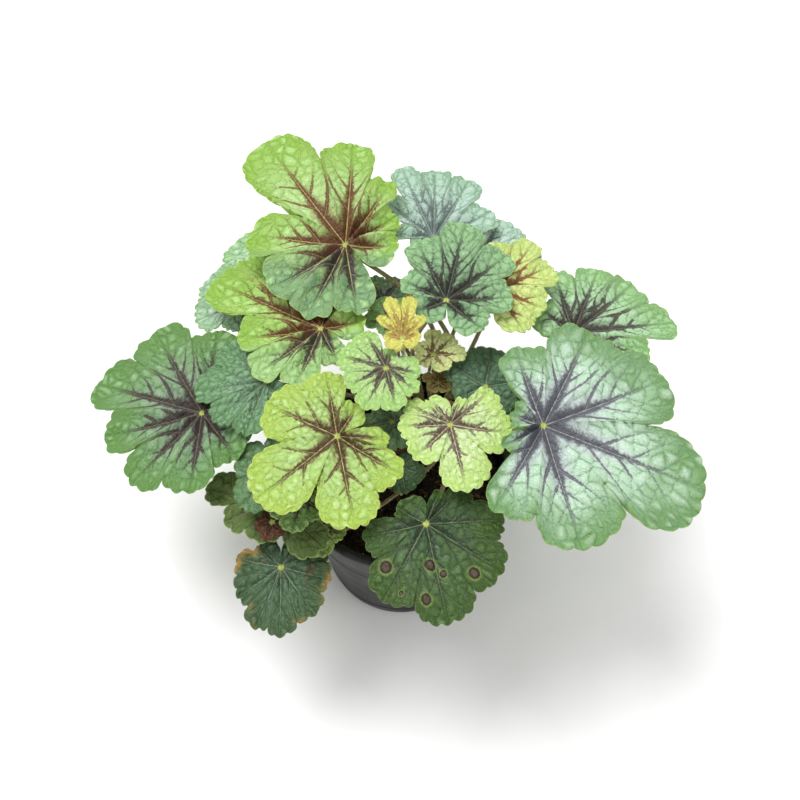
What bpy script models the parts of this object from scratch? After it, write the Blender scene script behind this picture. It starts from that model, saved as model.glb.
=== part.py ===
"""A heuchera in a black nursery pot: pot, soil, crown and one closed solid for each leaf.

Each leaf is designed from above: where its hub stands, how high it is held, which way its base
notch opens, and how far each lobe reaches. The rest follows from rules: the notches between the
lobes, the teeth, the fall of the blade, how the blades rest over each other, which hole of the
crown each stalk stands in, and the way that the stalk takes to it past the other leaves.
"""

import math

import bmesh
import bpy
import numpy as np
from mathutils import Matrix, Vector

MM = 0.001
TURN = 2 * math.pi

# Pot, in millimetres
POT_HEIGHT = 110.0
POT_RIM_R = 65.0
POT_FOOT_R = 45.0
POT_WALL = 1.6
RIM_LIP = 4.6
RIM_DROP = 14.0
FLOOR_THICK = 2.4
DRAIN_HOLES = 6
DRAIN_R = 4.5
DRAIN_RING_R = 29.0
POT_STEPS = 40

# Soil and crown
SOIL_TOP = 97.0
SOIL_GAP = 0.35
SOIL_STEPS = 36
CROWN_X, CROWN_Y = 12.0, 30.0
CROWN_R = 21.0
CROWN_TOP = 111.0
CROWN_FOOT = 84.0
CROWN_STEPS = 24
# Withered stubs of old stalks round the crown: angle, lean, length
STUBS = ((10, 0.6, 15), (145, 0.8, 12), (215, 1.2, 13), (280, 1.0, 16), (350, 0.7, 18))
STUB_R = 1.2
STUB_OUT = 20.2

# Holes of the crown, in rings from the middle out: distance, how many stalks stand there
ROOT_RINGS = ((0.0, 1), (6.2, 6), (12.2, 11), (18.0, 14))
ROOT_LEAN = 0.8
SOCKET_DEPTH = 5.0
SOCKET_GAP = 0.4

# Blades
BLADE_THICK = 0.9
DROOP_R = 520.0
FALL_OVER = 320.0
FALL_MOST = 0.42
BACK_FALL = 0.5
LOBE_FULL = 2.3
CUT = 0.92
SINUS_SHARE, SINUS_LEAST = 0.1, 5.0
TOOTH_LEAST, TOOTH_SHARE, TOOTH_MOST = 3.6, 0.09, 10.6
BITE = 0.3
BITE_MOST = 0.05
FOLD = 0.035
TIP_DIP = 0.03
RIPPLE = 0.016
RING_MID, RING_IN, RING_SMALL = 0.84, 0.48, 0.66
SMALL_LEAF = 28
# A half-hidden leaf: half the angle that its lobes spread over, and how much its last are shorter
PALM_SPREAD = 125.0
PALM_FALL = 0.3

# How the blades rest over each other
REST_GAP = 5.6
REST_ROUNDS = 80
SLOPE_STEP = 0.005
CELL = 3.0
FIELD_X, FIELD_Y = (-220.0, 220.0), (-180.0, 220.0)

# Stalks
HUB_R = 1.9
STALK_R_LEAST, STALK_R_SHARE, STALK_R_MOST = 0.75, 0.0125, 1.45
STALK_SIDES = 5
STALK_STEPS = 6
ROUTE_SAMPLES = 41
ROUTE_TRIES = 200
ROUTE_SWEEPS = 3
BLADE_CLEAR = 3.2
STALK_CLEAR = 4.4
RIM_CLEAR = 3.5
SOIL_CLEAR = 3.5

LEAVES = []


def leaf(name, at, height, sinus, tips, cut=CUT, slope=None, colour=(0.30, 0.42, 0.18)):
    """One leaf, in millimetres and degrees. at is the hub's place, sinus the way that the base
    notch opens, tips the lobes anticlockwise from it as (angle, reach), and cut how far the
    notches reach, as a share of the shorter lobe beside them. The topmost leaf comes first."""
    LEAVES.append(dict(name=name, at=at, height=height, sinus=sinus, tips=tips, cut=cut,
                       slope=slope or outward_fall(at), colour=colour,
                       size=max(reach for _, reach in tips)))


def outward_fall(at):
    """The slope of a blade that falls away from the crown, less so at the back."""
    x, y = at[0] - CROWN_X, at[1] - CROWN_Y
    away = max(math.hypot(x, y), 1.0)
    fall = min(away / FALL_OVER, FALL_MOST) / away
    return (-x * fall, -y * fall * (BACK_FALL if y > 0 else 1.0))


def palm(name, at, height, heading, size, lobes=5, cut=0.8, colour=(0.30, 0.42, 0.18)):
    """A leaf of which little shows: even lobes spread about a heading, shorter toward its base."""
    tips = []
    for k in range(lobes):
        turn = PALM_SPREAD * (2 * k / (lobes - 1) - 1)
        tips.append((heading + turn, size * (1 - PALM_FALL * (turn / PALM_SPREAD) ** 2)))
    leaf(name, at, height, heading + 180, tips, cut, colour=colour)


def design_leaves():
    leaf("leaf_right_big", at=(75, -12), height=175, sinus=-165,
         tips=((-150, 26), (-120, 55), (-74, 67), (-14, 92), (29, 82), (65, 72), (106, 48),
               (156, 19)),
         cut=(0.95, 0.9, 0.83, 0.71, 0.97, 0.95, 0.95), colour=(0.42, 0.60, 0.40))
    leaf("leaf_young_golden", at=(1, 36), height=180, sinus=-84,
         tips=((15, 10), (50, 19), (82, 28), (106, 29), (134, 20), (165, 11)),
         cut=(0.8, 0.7, 0.62, 0.65, 0.75), colour=(0.55, 0.50, 0.14))
    leaf("leaf_top_middle", at=(25, 65), height=180, sinus=-89,
         tips=((-40, 27), (8, 38), (45, 51), (78, 59), (110, 47), (148, 29), (200, 19)),
         colour=(0.20, 0.33, 0.18))
    leaf("leaf_back_left_big", at=(-32, 108), height=180, sinus=-54,
         tips=((2, 31), (38, 38), (62, 56), (88, 86), (120, 104), (165, 60), (212, 51), (245, 50),
               (280, 46)),
         cut=(0.95, 0.95, 0.95, 0.8, 0.62, 0.85, 0.93, 0.93), slope=(0.10, 0.08),
         colour=(0.34, 0.50, 0.14))
    leaf("leaf_middle_green", at=(-8, 21), height=175, sinus=46,
         tips=((82, 13), (115, 28), (160, 28), (207, 24), (245, 28), (282, 27), (318, 23),
               (350, 19)),
         cut=0.9, colour=(0.40, 0.58, 0.26))
    leaf("leaf_small_olive", at=(18, 43), height=160, sinus=-103,
         tips=((-50, 13), (5, 19), (50, 18), (92, 18), (137, 12), (215, 11)),
         cut=0.8, colour=(0.38, 0.42, 0.16))
    leaf("leaf_middle_lime", at=(26, -10), height=170, sinus=85,
         tips=((122, 20), (152, 27), (182, 28), (225, 28), (283, 38), (355, 34), (405, 33),
               (430, 18)),
         cut=(0.9, 0.9, 0.86, 0.62, 0.62, 0.86, 0.95), colour=(0.50, 0.66, 0.28))
    leaf("leaf_front_yellow", at=(-34, -14), height=170, sinus=20,
         tips=((60, 22), (100, 39), (151, 45), (217, 54), (282, 50), (328, 41), (358, 28)),
         cut=(0.95, 0.88, 0.53, 0.46, 0.88, 0.95), colour=(0.40, 0.55, 0.16))
    leaf("leaf_left_upper", at=(-45, 57), height=165, sinus=-36,
         tips=((15, 26), (80, 45), (126, 78), (144, 82), (180, 48), (216, 46), (250, 40),
               (296, 26)),
         cut=(0.95, 0.95, 0.96, 0.95, 0.85, 0.88, 0.95), colour=(0.36, 0.52, 0.18))
    leaf("leaf_back_yellow", at=(54, 80), height=170, sinus=-102,
         tips=((-62, 32), (-20, 30), (35, 41), (59, 48), (88, 39), (130, 16)),
         colour=(0.50, 0.62, 0.20))
    leaf("leaf_back_pale", at=(19, 118), height=170, sinus=-91,
         tips=((-20, 22), (38, 45), (68, 62), (88, 67), (105, 72), (128, 45), (162, 24), (215, 15)),
         colour=(0.45, 0.60, 0.48))
    palm("leaf_back_right_pale", at=(45, 105), height=160, heading=70, size=43, cut=0.92,
         colour=(0.45, 0.58, 0.48))
    leaf("leaf_right_back", at=(98, 61), height=160, sinus=-155,
         tips=((-60, 24), (-10, 46), (21, 70), (50, 65), (70, 62), (98, 51), (134, 27)),
         cut=(0.95, 0.95, 0.93, 0.94, 0.9, 0.92), colour=(0.28, 0.45, 0.22))
    palm("leaf_behind_young", at=(-5, 70), height=155, heading=120, size=18,
         colour=(0.30, 0.42, 0.20))
    palm("leaf_back_grey", at=(-10, 90), height=150, heading=120, size=20,
         colour=(0.28, 0.38, 0.28))
    palm("leaf_back_left_bright", at=(-75, 115), height=150, heading=130, size=40, cut=0.9,
         colour=(0.36, 0.55, 0.30))
    leaf("leaf_left_dark", at=(-75, 28), height=155, sinus=-8,
         tips=((75, 12), (128, 40), (178, 42), (215, 36), (252, 34), (305, 16)),
         cut=(0.95, 0.8, 0.82, 0.85, 0.95), colour=(0.22, 0.38, 0.22))
    leaf("leaf_far_left", at=(-112, 18), height=140, sinus=-8,
         tips=((40, 28), (85, 58), (118, 76), (150, 82), (180, 60), (220, 53), (265, 48),
               (306, 38)),
         cut=(0.95, 0.95, 0.86, 0.92, 0.78, 0.9, 0.95), colour=(0.24, 0.42, 0.18))
    palm("leaf_back_left_pale", at=(-90, 100), height=140, heading=135, size=38, cut=0.9,
         colour=(0.36, 0.52, 0.34))
    leaf("leaf_front_dark", at=(13, -57), height=150, sinus=86,
         tips=((150, 18), (190, 34), (240, 45), (283, 51), (330, 47), (365, 42), (405, 30),
               (428, 20)),
         cut=0.88, colour=(0.14, 0.26, 0.12))
    palm("leaf_right_shade", at=(47, 27), height=150, heading=80, size=28, cut=0.9,
         colour=(0.14, 0.24, 0.16))
    palm("leaf_young_red", at=(21, 32), height=150, heading=90, size=11, cut=0.6,
         colour=(0.40, 0.20, 0.12))
    palm("leaf_middle_grey", at=(-5, 5), height=145, heading=250, size=20, cut=0.88,
         colour=(0.26, 0.36, 0.24))
    palm("leaf_right_under", at=(65, 25), height=140, heading=30, size=22,
         colour=(0.22, 0.32, 0.26))
    palm("leaf_low_oval", at=(0, -20), height=135, heading=280, size=15, cut=0.9,
         colour=(0.10, 0.18, 0.09))
    palm("leaf_left_grey", at=(-65, -20), height=145, heading=220, size=30,
         colour=(0.20, 0.32, 0.18))
    palm("leaf_low_green", at=(-55, -35), height=140, heading=260, size=20,
         colour=(0.22, 0.36, 0.12))
    palm("leaf_withered", at=(-70, -45), height=130, heading=250, size=11, cut=0.75,
         colour=(0.24, 0.13, 0.06))
    palm("leaf_low_dark", at=(-30, -25), height=140, heading=240, size=22,
         colour=(0.08, 0.16, 0.07))
    leaf("leaf_low_olive", at=(-72, -30), height=130, sinus=24,
         tips=((110, 15), (162, 40), (200, 28), (258, 24), (318, 43), (350, 28)),
         cut=0.85, colour=(0.22, 0.30, 0.10))
    palm("leaf_low_spotted", at=(-45, -45), height=125, heading=280, size=17, cut=0.75,
         colour=(0.32, 0.40, 0.14))
    leaf("leaf_front_left_dark", at=(-66, -63), height=115, sinus=92,
         tips=((130, 20), (162, 27), (207, 28), (246, 34), (270, 36), (307, 33), (345, 29),
               (382, 27), (415, 20)),
         cut=0.93, colour=(0.16, 0.28, 0.16))


def marks(spec):
    """The base notch, tips and notches of a leaf as (angle, reach), with angles that only rise."""
    cuts = spec["cut"] if isinstance(spec["cut"], tuple) else [spec["cut"]] * len(spec["tips"])
    base = max(SINUS_SHARE * spec["size"], SINUS_LEAST)
    found = [(spec["sinus"], base)]
    for k, (angle, reach) in enumerate(spec["tips"]):
        angle = found[-1][0] + (angle - found[-1][0]) % 360
        found.append((angle, reach))
        if k + 1 < len(spec["tips"]):
            after_angle, after_reach = spec["tips"][k + 1]
            found.append((angle + ((after_angle - angle) % 360) / 2,
                          cuts[k] * min(reach, after_reach)))
    found.append((spec["sinus"] + 360, base))
    return found


def lobe_sides(start, tip, end):
    """The two sides of one lobe as fine lines, up to its tip and down from it."""
    sides = []
    for notch, s in ((start, np.linspace(1.0, 0.0, 60)), (end, np.linspace(0.0, 1.0, 60))):
        angle = np.radians(tip[0] + (notch[0] - tip[0]) * s)
        reach = notch[1] + (tip[1] - notch[1]) * (1 - s ** LOBE_FULL) ** (1 / LOBE_FULL)
        sides.append(np.stack([reach * np.cos(angle), reach * np.sin(angle)], 1))
    return sides


def lengths(line):
    return np.concatenate([[0], np.cumsum(np.hypot(*np.diff(line, axis=0).T))])


def tooth_width(spec):
    return min(TOOTH_LEAST + TOOTH_SHARE * spec["size"], TOOTH_MOST)


def margin(spec, count=None):
    """The outline, count points to a side of each lobe, or one for each half tooth.

    Returns the points, where they sit among the lobes, and which lie between two teeth."""
    turns = marks(spec)
    points, places, between = [], [], []
    for k in range(len(spec["tips"])):
        sides = lobe_sides(turns[2 * k], turns[2 * k + 1], turns[2 * k + 2])
        steps = count
        if count is None:
            around = lengths(np.vstack(sides))[-1]
            steps = max(2 * round((around / tooth_width(spec) - 1) / 2) + 1, 1)
        for half, line in enumerate(sides):
            along = lengths(line)
            wanted = np.linspace(0, along[-1], steps + 1)[:-1]
            points += list(np.stack([np.interp(wanted, along, line[:, c]) for c in (0, 1)], 1))
            step = np.arange(steps) + half * steps
            places += list(k + step / (2 * steps))
            between += list((step % 2 == 0) & (step > 0))
    return np.array(points), np.array(places), np.array(between)


def blade_plane(spec, x, y):
    """Height of the drooping plane that the blade is waved about, at offsets from the hub."""
    across, along = spec["slope"]
    return spec["height"] + across * x + along * y - (x * x + y * y) / (2 * DROOP_R)


def blade_height(spec, xy, place, share):
    """Height of the blade's middle at plan offsets xy from the hub."""
    size = spec["size"]
    vein = np.cos(TURN * place)
    fold = FOLD * size * vein * 4 * share * (1 - share)
    dip = -TIP_DIP * size * share ** 4 * (1 - vein) / 2
    ripple = RIPPLE * size * share ** 4 * np.sin(math.pi * place + sum(spec["at"]))
    return blade_plane(spec, xy[:, 0], xy[:, 1]) + fold + dip + ripple


def field():
    """The middles of the cells of the ground plan, as two grids."""
    return np.meshgrid(np.arange(*FIELD_X, CELL) + CELL / 2, np.arange(*FIELD_Y, CELL) + CELL / 2)


def covered(spec, grid_x, grid_y):
    """Which cells of the plan lie under the blade, its margin grown by one cell."""
    outline = margin(spec, 8)[0] + np.array(spec["at"])
    inside = np.zeros(grid_x.shape, bool)
    for (x0, y0), (x1, y1) in zip(outline, np.roll(outline, -1, 0)):
        if y0 != y1:
            crossing = x0 + (x1 - x0) * (grid_y - y0) / (y1 - y0)
            inside ^= ((y0 > grid_y) != (y1 > grid_y)) & (grid_x < crossing)
    grown = inside.copy()
    grown[1:] |= inside[:-1]
    grown[:-1] |= inside[1:]
    grown[:, 1:] |= inside[:, :-1]
    grown[:, :-1] |= inside[:, 1:]
    return grown


def settle_blades():
    """Lifts, lowers and tips the blades until each rests clear over those listed after it."""
    grid_x, grid_y = field()
    under = [covered(spec, grid_x, grid_y) for spec in LEAVES]
    wanted = [(spec["height"], *spec["slope"]) for spec in LEAVES]
    count = len(LEAVES)
    pairs = [(a, b) for a in range(count) for b in range(a + 1, count)
             if (under[a] & under[b]).any()]
    cells = {pair: np.nonzero(under[pair[0]] & under[pair[1]]) for pair in pairs}
    for _ in range(REST_ROUNDS):
        push = np.zeros((count, 3))
        for a, b in pairs:
            x, y = grid_x[cells[a, b]], grid_y[cells[a, b]]
            offsets = [(x - LEAVES[n]["at"][0], y - LEAVES[n]["at"][1]) for n in (a, b)]
            gap = blade_plane(LEAVES[a], *offsets[0]) - blade_plane(LEAVES[b], *offsets[1])
            least = gap.argmin()
            short = REST_GAP - gap[least]
            if short > 0:
                for n, sign, (dx, dy) in ((a, 1, offsets[0]), (b, -1, offsets[1])):
                    tip = np.array((0.35, 0.25 * dx[least] / 1600, 0.25 * dy[least] / 1600))
                    push[n] += sign * short * tip
        for spec, (lift, tip_x, tip_y), (height, slope_x, slope_y) in zip(LEAVES, push, wanted):
            x, y = spec["slope"]
            spec["height"] += lift + 0.01 * (height - spec["height"])
            spec["slope"] = (x + tip_x + 0.02 * (slope_x - x), y + tip_y + 0.02 * (slope_y - y))
    for spec in LEAVES:
        spec["height"] = round(spec["height"], 1)
        spec["slope"] = tuple(round(part / SLOPE_STEP) * SLOPE_STEP for part in spec["slope"])


def ring(spec, count, share):
    """One ring of the blade at a share of the way from hub to margin, toothed without a count."""
    flat, place, between = margin(spec, count)
    if count is None:
        step = np.roll(flat, -1, 0) - np.roll(flat, 1, 0)
        inward = np.stack([-step[:, 1], step[:, 0]], 1) / np.linalg.norm(step, axis=1)[:, None]
        toward = -flat / np.linalg.norm(flat, axis=1)[:, None]
        depth = min(BITE * tooth_width(spec), BITE_MOST * spec["size"])
        flat = flat + (inward + toward) * 0.5 * (between * depth)[:, None]
    xy = flat * share
    z = blade_height(spec, xy, place, np.full(len(xy), share))
    return np.column_stack([xy + np.array(spec["at"]), z]), place


def hub_ring(spec):
    """The few points round the hub that the stalk grows from, and where they sit."""
    flat, place, _ = margin(spec, 12)
    around = np.unwrap(np.arctan2(flat[:, 1], flat[:, 0]))
    angles = around[0] + TURN * np.arange(STALK_SIDES) / STALK_SIDES
    where = np.interp(angles, np.append(around, around[0] + TURN),
                      np.append(place, len(spec["tips"])))
    xy = HUB_R * np.stack([np.cos(angles), np.sin(angles)], 1)
    z = blade_height(spec, xy, where, np.zeros(len(xy)))
    return np.column_stack([xy + np.array(spec["at"]), z]), where


def zip_rings(outer, outer_place, inner, inner_place, span):
    """Triangles between two rings given as index lists, matched by their places."""
    faces, i, j = [], 0, 0
    while i < len(outer) or j < len(inner):
        next_i = outer_place[i + 1] if i + 1 < len(outer) else span
        next_j = inner_place[j + 1] if j + 1 < len(inner) else span
        a, b = outer[i % len(outer)], inner[j % len(inner)]
        if j >= len(inner) or (i < len(outer) and next_i <= next_j):
            faces.append((a, outer[(i + 1) % len(outer)], b))
            i += 1
        else:
            faces.append((a, inner[(j + 1) % len(inner)], b))
            j += 1
    return faces


def crown_height(x, y):
    """Height of the crown's dome at an offset from its middle."""
    share = min((x * x + y * y) / CROWN_R ** 2, 1.0)
    return SOIL_TOP + (CROWN_TOP - SOIL_TOP) * math.sqrt(1 - 0.92 * share)


def choose_roots():
    """Gives each leaf a hole in the crown: near leaves the middle ones, far leaves the outer
    ones, and each ring of holes turned so that its leaves stand out their own way."""
    def away(spec):
        return math.hypot(spec["at"][0] - CROWN_X, spec["at"][1] - CROWN_Y)

    def heading(spec):
        return math.atan2(spec["at"][1] - CROWN_Y, spec["at"][0] - CROWN_X) % TURN

    left = sorted(LEAVES, key=away)
    for reach, count in ROOT_RINGS:
        here = sorted(left[:count], key=heading)
        left = left[count:]
        spare = [heading(spec) - TURN * k / count for k, spec in enumerate(here)]
        start = math.atan2(sum(map(math.sin, spare)), sum(map(math.cos, spare)))
        for k, spec in enumerate(here):
            angle = start + TURN * k / count
            x, y = reach * math.cos(angle), reach * math.sin(angle)
            lean = ROOT_LEAN * reach / CROWN_R
            spec["foot"] = Vector((CROWN_X + x, CROWN_Y + y, crown_height(x, y)))
            spec["way"] = Vector((lean * math.cos(angle), lean * math.sin(angle), 1)).normalized()


def stalk_r(spec):
    return min(STALK_R_LEAST + STALK_R_SHARE * spec["size"], STALK_R_MOST)


def stalk_curve(spec, bend, count):
    """Points from hub to foot on one curve. bend is how far the stalk rises straight from the
    crown, how far it runs straight from the hub, and its turn and fall there in degrees."""
    rise, reach, turn, fall = bend
    heading, drop = math.radians(spec["sinus"] + turn), math.radians(fall)
    hub = np.array((*spec["at"], spec["height"]))
    arm = np.array((math.cos(heading) * math.cos(drop), math.sin(heading) * math.cos(drop),
                    -math.sin(drop)))
    foot, way = np.array(spec["foot"]), np.array(spec["way"])
    t = np.linspace(0, 1, count)[:, None]
    return (hub * (1 - t) ** 3 + (hub + arm * reach) * 3 * t * (1 - t) ** 2
            + (foot + way * rise) * 3 * t * t * (1 - t) + foot * t ** 3)


def route_cost(spec, index, bend, heights, others):
    """How badly a stalk with this bend crowds the blades, the rim, the soil and other stalks."""
    path = stalk_curve(spec, bend, ROUTE_SAMPLES)
    column = ((path[:, 0] - FIELD_X[0]) / CELL).astype(int).clip(0, heights.shape[2] - 1)
    row = ((path[:, 1] - FIELD_Y[0]) / CELL).astype(int).clip(0, heights.shape[1] - 1)
    over = path[:, 2] - heights[:, row, column]
    over[index, :7] = np.nan
    cost = 0.5 * np.nansum(np.clip(over[index] + 3.0, 0, None))
    over[index] = np.nan
    cost += 2 * np.nansum(np.clip(BLADE_CLEAR - np.abs(over), 0, None))
    side = np.sign(over)
    cost += 25 * np.nansum(side[:, 1:] * side[:, :-1] < 0)
    out = np.hypot(path[:, 0], path[:, 1])
    at_rim = (out > POT_RIM_R - 10) & (out < POT_RIM_R + 4)
    cost += 3 * np.sum(np.clip(POT_HEIGHT + RIM_CLEAR - path[:, 2], 0, None) * at_rim)
    off_crown = np.hypot(path[:, 0] - CROWN_X, path[:, 1] - CROWN_Y) > CROWN_R + 1
    cost += 3 * np.sum(np.clip(SOIL_TOP + SOIL_CLEAR - path[:, 2], 0, None) * off_crown)
    if len(others):
        apart = np.linalg.norm(path[None, :, None] - others[:, None], axis=3)
        cost += 6 * np.clip(STALK_CLEAR - apart.min(axis=(1, 2)), 0, None).sum()
    length = np.linalg.norm(np.diff(path, axis=0), axis=1).sum()
    return cost + 0.06 * (length - np.linalg.norm(path[0] - path[-1])) + 0.02 * abs(bend[2]), path


def route_stalks():
    """Finds each stalk a clear way from its hub to its hole, lowest leaves first, by trying
    many bends and then, in later sweeps, changes to the best one so far."""
    chance = np.random.default_rng(4)
    grid_x, grid_y = field()
    heights = np.stack([
        np.where(covered(spec, grid_x, grid_y),
                 blade_plane(spec, grid_x - spec["at"][0], grid_y - spec["at"][1]), np.nan)
        for spec in LEAVES])
    order = sorted(range(len(LEAVES)), key=lambda n: LEAVES[n]["height"])
    paths = {}
    for sweep in range(ROUTE_SWEEPS):
        for n in order:
            spec = LEAVES[n]
            hub = np.array((*spec["at"], spec["height"]))
            far = np.linalg.norm(hub - np.array(spec["foot"]))
            tries = [spec["bend"]] if sweep else []
            for _ in range(ROUTE_TRIES):
                if sweep and chance.random() < 0.6:
                    rise, reach, turn, fall = spec["bend"]
                    tries.append((max(8, rise + chance.normal() * 8),
                                  max(5, reach + chance.normal() * 6),
                                  turn + chance.normal() * 15,
                                  min(max(fall + chance.normal() * 10, 12), 88)))
                else:
                    tries.append((chance.uniform(0.2, 1.0) * far, chance.uniform(0.12, 0.6) * far,
                                  chance.normal() * 35, chance.uniform(20, 85)))
            tries = [(round(rise), round(reach), 5 * round(turn / 5), 5 * round(fall / 5))
                     for rise, reach, turn, fall in tries]
            others = np.array([path for k, path in paths.items() if k != n])
            found = [(*route_cost(spec, n, bend, heights, others), bend) for bend in tries]
            _, paths[n], spec["bend"] = min(found, key=lambda row: row[0])


def leaf_mesh(spec):
    """Vertices and triangles of one leaf, blade and stalk in one closed skin."""
    rings = [ring(spec, None, 1.0)]
    if spec["size"] > SMALL_LEAF:
        rings += [ring(spec, 2, RING_MID), ring(spec, 1, RING_IN), hub_ring(spec)]
    else:
        rings += [ring(spec, 1, RING_SMALL), hub_ring(spec)]
    sheet = np.vstack([points for points, _ in rings])
    starts = np.cumsum([0] + [len(points) for points, _ in rings])
    index = [list(range(a, b)) for a, b in zip(starts, starts[1:])]
    upper = []
    for k in range(len(rings) - 1):
        upper += zip_rings(index[k], rings[k][1], index[k + 1], rings[k + 1][1],
                           len(spec["tips"]))
    half = np.array((0, 0, BLADE_THICK / 2))
    count = len(sheet)
    verts = [tuple(v) for v in sheet + half] + [tuple(v) for v in sheet - half]
    faces = list(upper) + [(a + count, c + count, b + count) for a, b, c in upper]
    edge = index[0]
    for k, a in enumerate(edge):
        b = edge[(k + 1) % len(edge)]
        faces += [(b, a, a + count), (b, a + count, b + count)]
    hub = np.array((*spec["at"], spec["height"]))
    verts.append(tuple(hub + half))
    top = len(verts) - 1
    inner = index[-1]
    faces += [(a, inner[(k + 1) % len(inner)], top) for k, a in enumerate(inner)]
    add_stalk(spec, verts, faces, [a + count for a in inner])
    return verts, faces


def add_stalk(spec, verts, faces, last):
    """Runs the stalk on from the ring last, down its curve into its hole, and closes its foot."""
    path = [Vector(point) for point in stalk_curve(spec, spec["bend"], STALK_STEPS + 1)]
    path.append(path[-1] - spec["way"] * (SOCKET_DEPTH - SOCKET_GAP))
    before = path[0]
    side = Vector(verts[last[0]]) - before
    for k, point in enumerate(path[1:], 1):
        after = path[k + 1] if k + 1 < len(path) else point + (point - before)
        way = (after - before).normalized()
        side = (side - way * side.dot(way)).normalized()
        across = way.cross(side)
        r = stalk_r(spec) * (0.82 + 0.25 * k / len(path))
        new = []
        for j in range(STALK_SIDES):
            a = TURN * j / STALK_SIDES
            new.append(len(verts))
            verts.append(tuple(point + side * (r * math.cos(a)) - across * (r * math.sin(a))))
        for j in range(STALK_SIDES):
            a, b = last[j], last[(j + 1) % STALK_SIDES]
            c, d = new[j], new[(j + 1) % STALK_SIDES]
            faces += [(b, a, c), (b, c, d)]
        last, before = new, point
    verts.append(tuple(path[-1]))
    foot = len(verts) - 1
    faces += [(last[(j + 1) % STALK_SIDES], last[j], foot) for j in range(STALK_SIDES)]


def material(name, colour, roughness, metallic=0.0):
    made = bpy.data.materials.new(name)
    made.use_nodes = True
    shader = made.node_tree.nodes["Principled BSDF"]
    shader.inputs["Base Color"].default_value = (*colour, 1.0)
    shader.inputs["Roughness"].default_value = roughness
    shader.inputs["Metallic"].default_value = metallic
    made.diffuse_color = (*colour, 1.0)
    return made


def add_object(name, work, look, smooth=True):
    """An object from a bmesh in millimetres, its faces turned out."""
    bmesh.ops.recalc_face_normals(work, faces=work.faces)
    bmesh.ops.transform(work, matrix=Matrix.Scale(MM, 4), verts=work.verts)
    mesh = bpy.data.meshes.new(name)
    work.to_mesh(mesh)
    work.free()
    mesh.materials.append(look)
    for polygon in mesh.polygons:
        polygon.use_smooth = smooth
    made = bpy.data.objects.new(name, mesh)
    bpy.context.scene.collection.objects.link(made)
    return made


def from_points(verts, faces):
    work = bmesh.new()
    made = [work.verts.new(v) for v in verts]
    for face in faces:
        work.faces.new([made[v] for v in face])
    return work


def spun(profile, steps, centre=(0.0, 0.0)):
    """A profile of (radius, z) from axis to axis, spun about an upright axis."""
    work = bmesh.new()
    line = [work.verts.new((centre[0] + r, centre[1], z)) for r, z in profile]
    edges = [work.edges.new(pair) for pair in zip(line, line[1:])]
    bmesh.ops.spin(work, geom=line + edges, cent=(*centre, 0), axis=(0, 0, 1), angle=TURN,
                   steps=steps, use_merge=True)
    bmesh.ops.remove_doubles(work, verts=work.verts, dist=0.01)
    return work


def add_rod(work, start, end, r, sides):
    """Adds a straight closed rod between two points."""
    way = end - start
    turn = way.to_track_quat("Z", "Y").to_matrix().to_4x4()
    bmesh.ops.create_cone(work, cap_ends=True, segments=sides, radius1=r, radius2=r,
                          depth=way.length, matrix=Matrix.Translation((start + end) / 2) @ turn)


def boolean(target, tool, operation):
    """Applies a Boolean with the exact solver and removes its tool."""
    change = target.modifiers.new(operation.title(), "BOOLEAN")
    change.operation = operation
    change.solver = "EXACT"
    change.object = tool
    tool.hide_render = True
    tool.display_type = "WIRE"
    graph = bpy.context.evaluated_depsgraph_get()
    mesh = bpy.data.meshes.new_from_object(target.evaluated_get(graph))
    target.modifiers.clear()
    old, target.data = target.data, mesh
    mesh.name = target.name
    bpy.data.meshes.remove(old)
    bpy.data.objects.remove(tool)


def build_pot(look):
    top, foot, wall = POT_HEIGHT, POT_FOOT_R, POT_WALL
    shoulder_z = top - RIM_DROP
    shoulder_r = POT_RIM_R - RIM_LIP
    inner_r = shoulder_r - wall
    profile = [(0, 0), (foot - 2, 0), (foot, 2), (shoulder_r - 0.6, shoulder_z - 1.5),
               (POT_RIM_R - 1.8, shoulder_z), (POT_RIM_R - 1.2, shoulder_z + 0.8),
               (POT_RIM_R, top - 1.8), (POT_RIM_R - 0.6, top - 0.5), (POT_RIM_R - 1.8, top),
               (inner_r + 1.4, top), (inner_r + 0.3, top - 1.0), (inner_r, shoulder_z),
               (foot - wall, FLOOR_THICK + 1.5), (foot - wall - 1.5, FLOOR_THICK),
               (0, FLOOR_THICK)]
    made = add_object("pot", spun(profile, POT_STEPS), look)
    holes = bmesh.new()
    for k in range(DRAIN_HOLES):
        a = TURN * k / DRAIN_HOLES
        x, y = DRAIN_RING_R * math.cos(a), DRAIN_RING_R * math.sin(a)
        add_rod(holes, Vector((x, y, -2)), Vector((x, y, FLOOR_THICK + 2)), DRAIN_R, 12)
    boolean(made, add_object("drain_cutter", holes, look), "DIFFERENCE")


def pot_inside(z):
    """Inner radius of the pot at a height."""
    shoulder_r = POT_RIM_R - RIM_LIP - POT_WALL
    share = (z - FLOOR_THICK) / (POT_HEIGHT - RIM_DROP - FLOOR_THICK)
    return POT_FOOT_R - POT_WALL + (shoulder_r - POT_FOOT_R + POT_WALL) * min(share, 1.0)


def soil_height(x, y):
    """The lumpy top of the potting mix."""
    return (SOIL_TOP + 1.1 * math.sin(x / 5.3 + 0.7 * math.sin(y / 6.1))
            + 0.9 * math.cos(y / 4.7 + x / 13.0))


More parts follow.
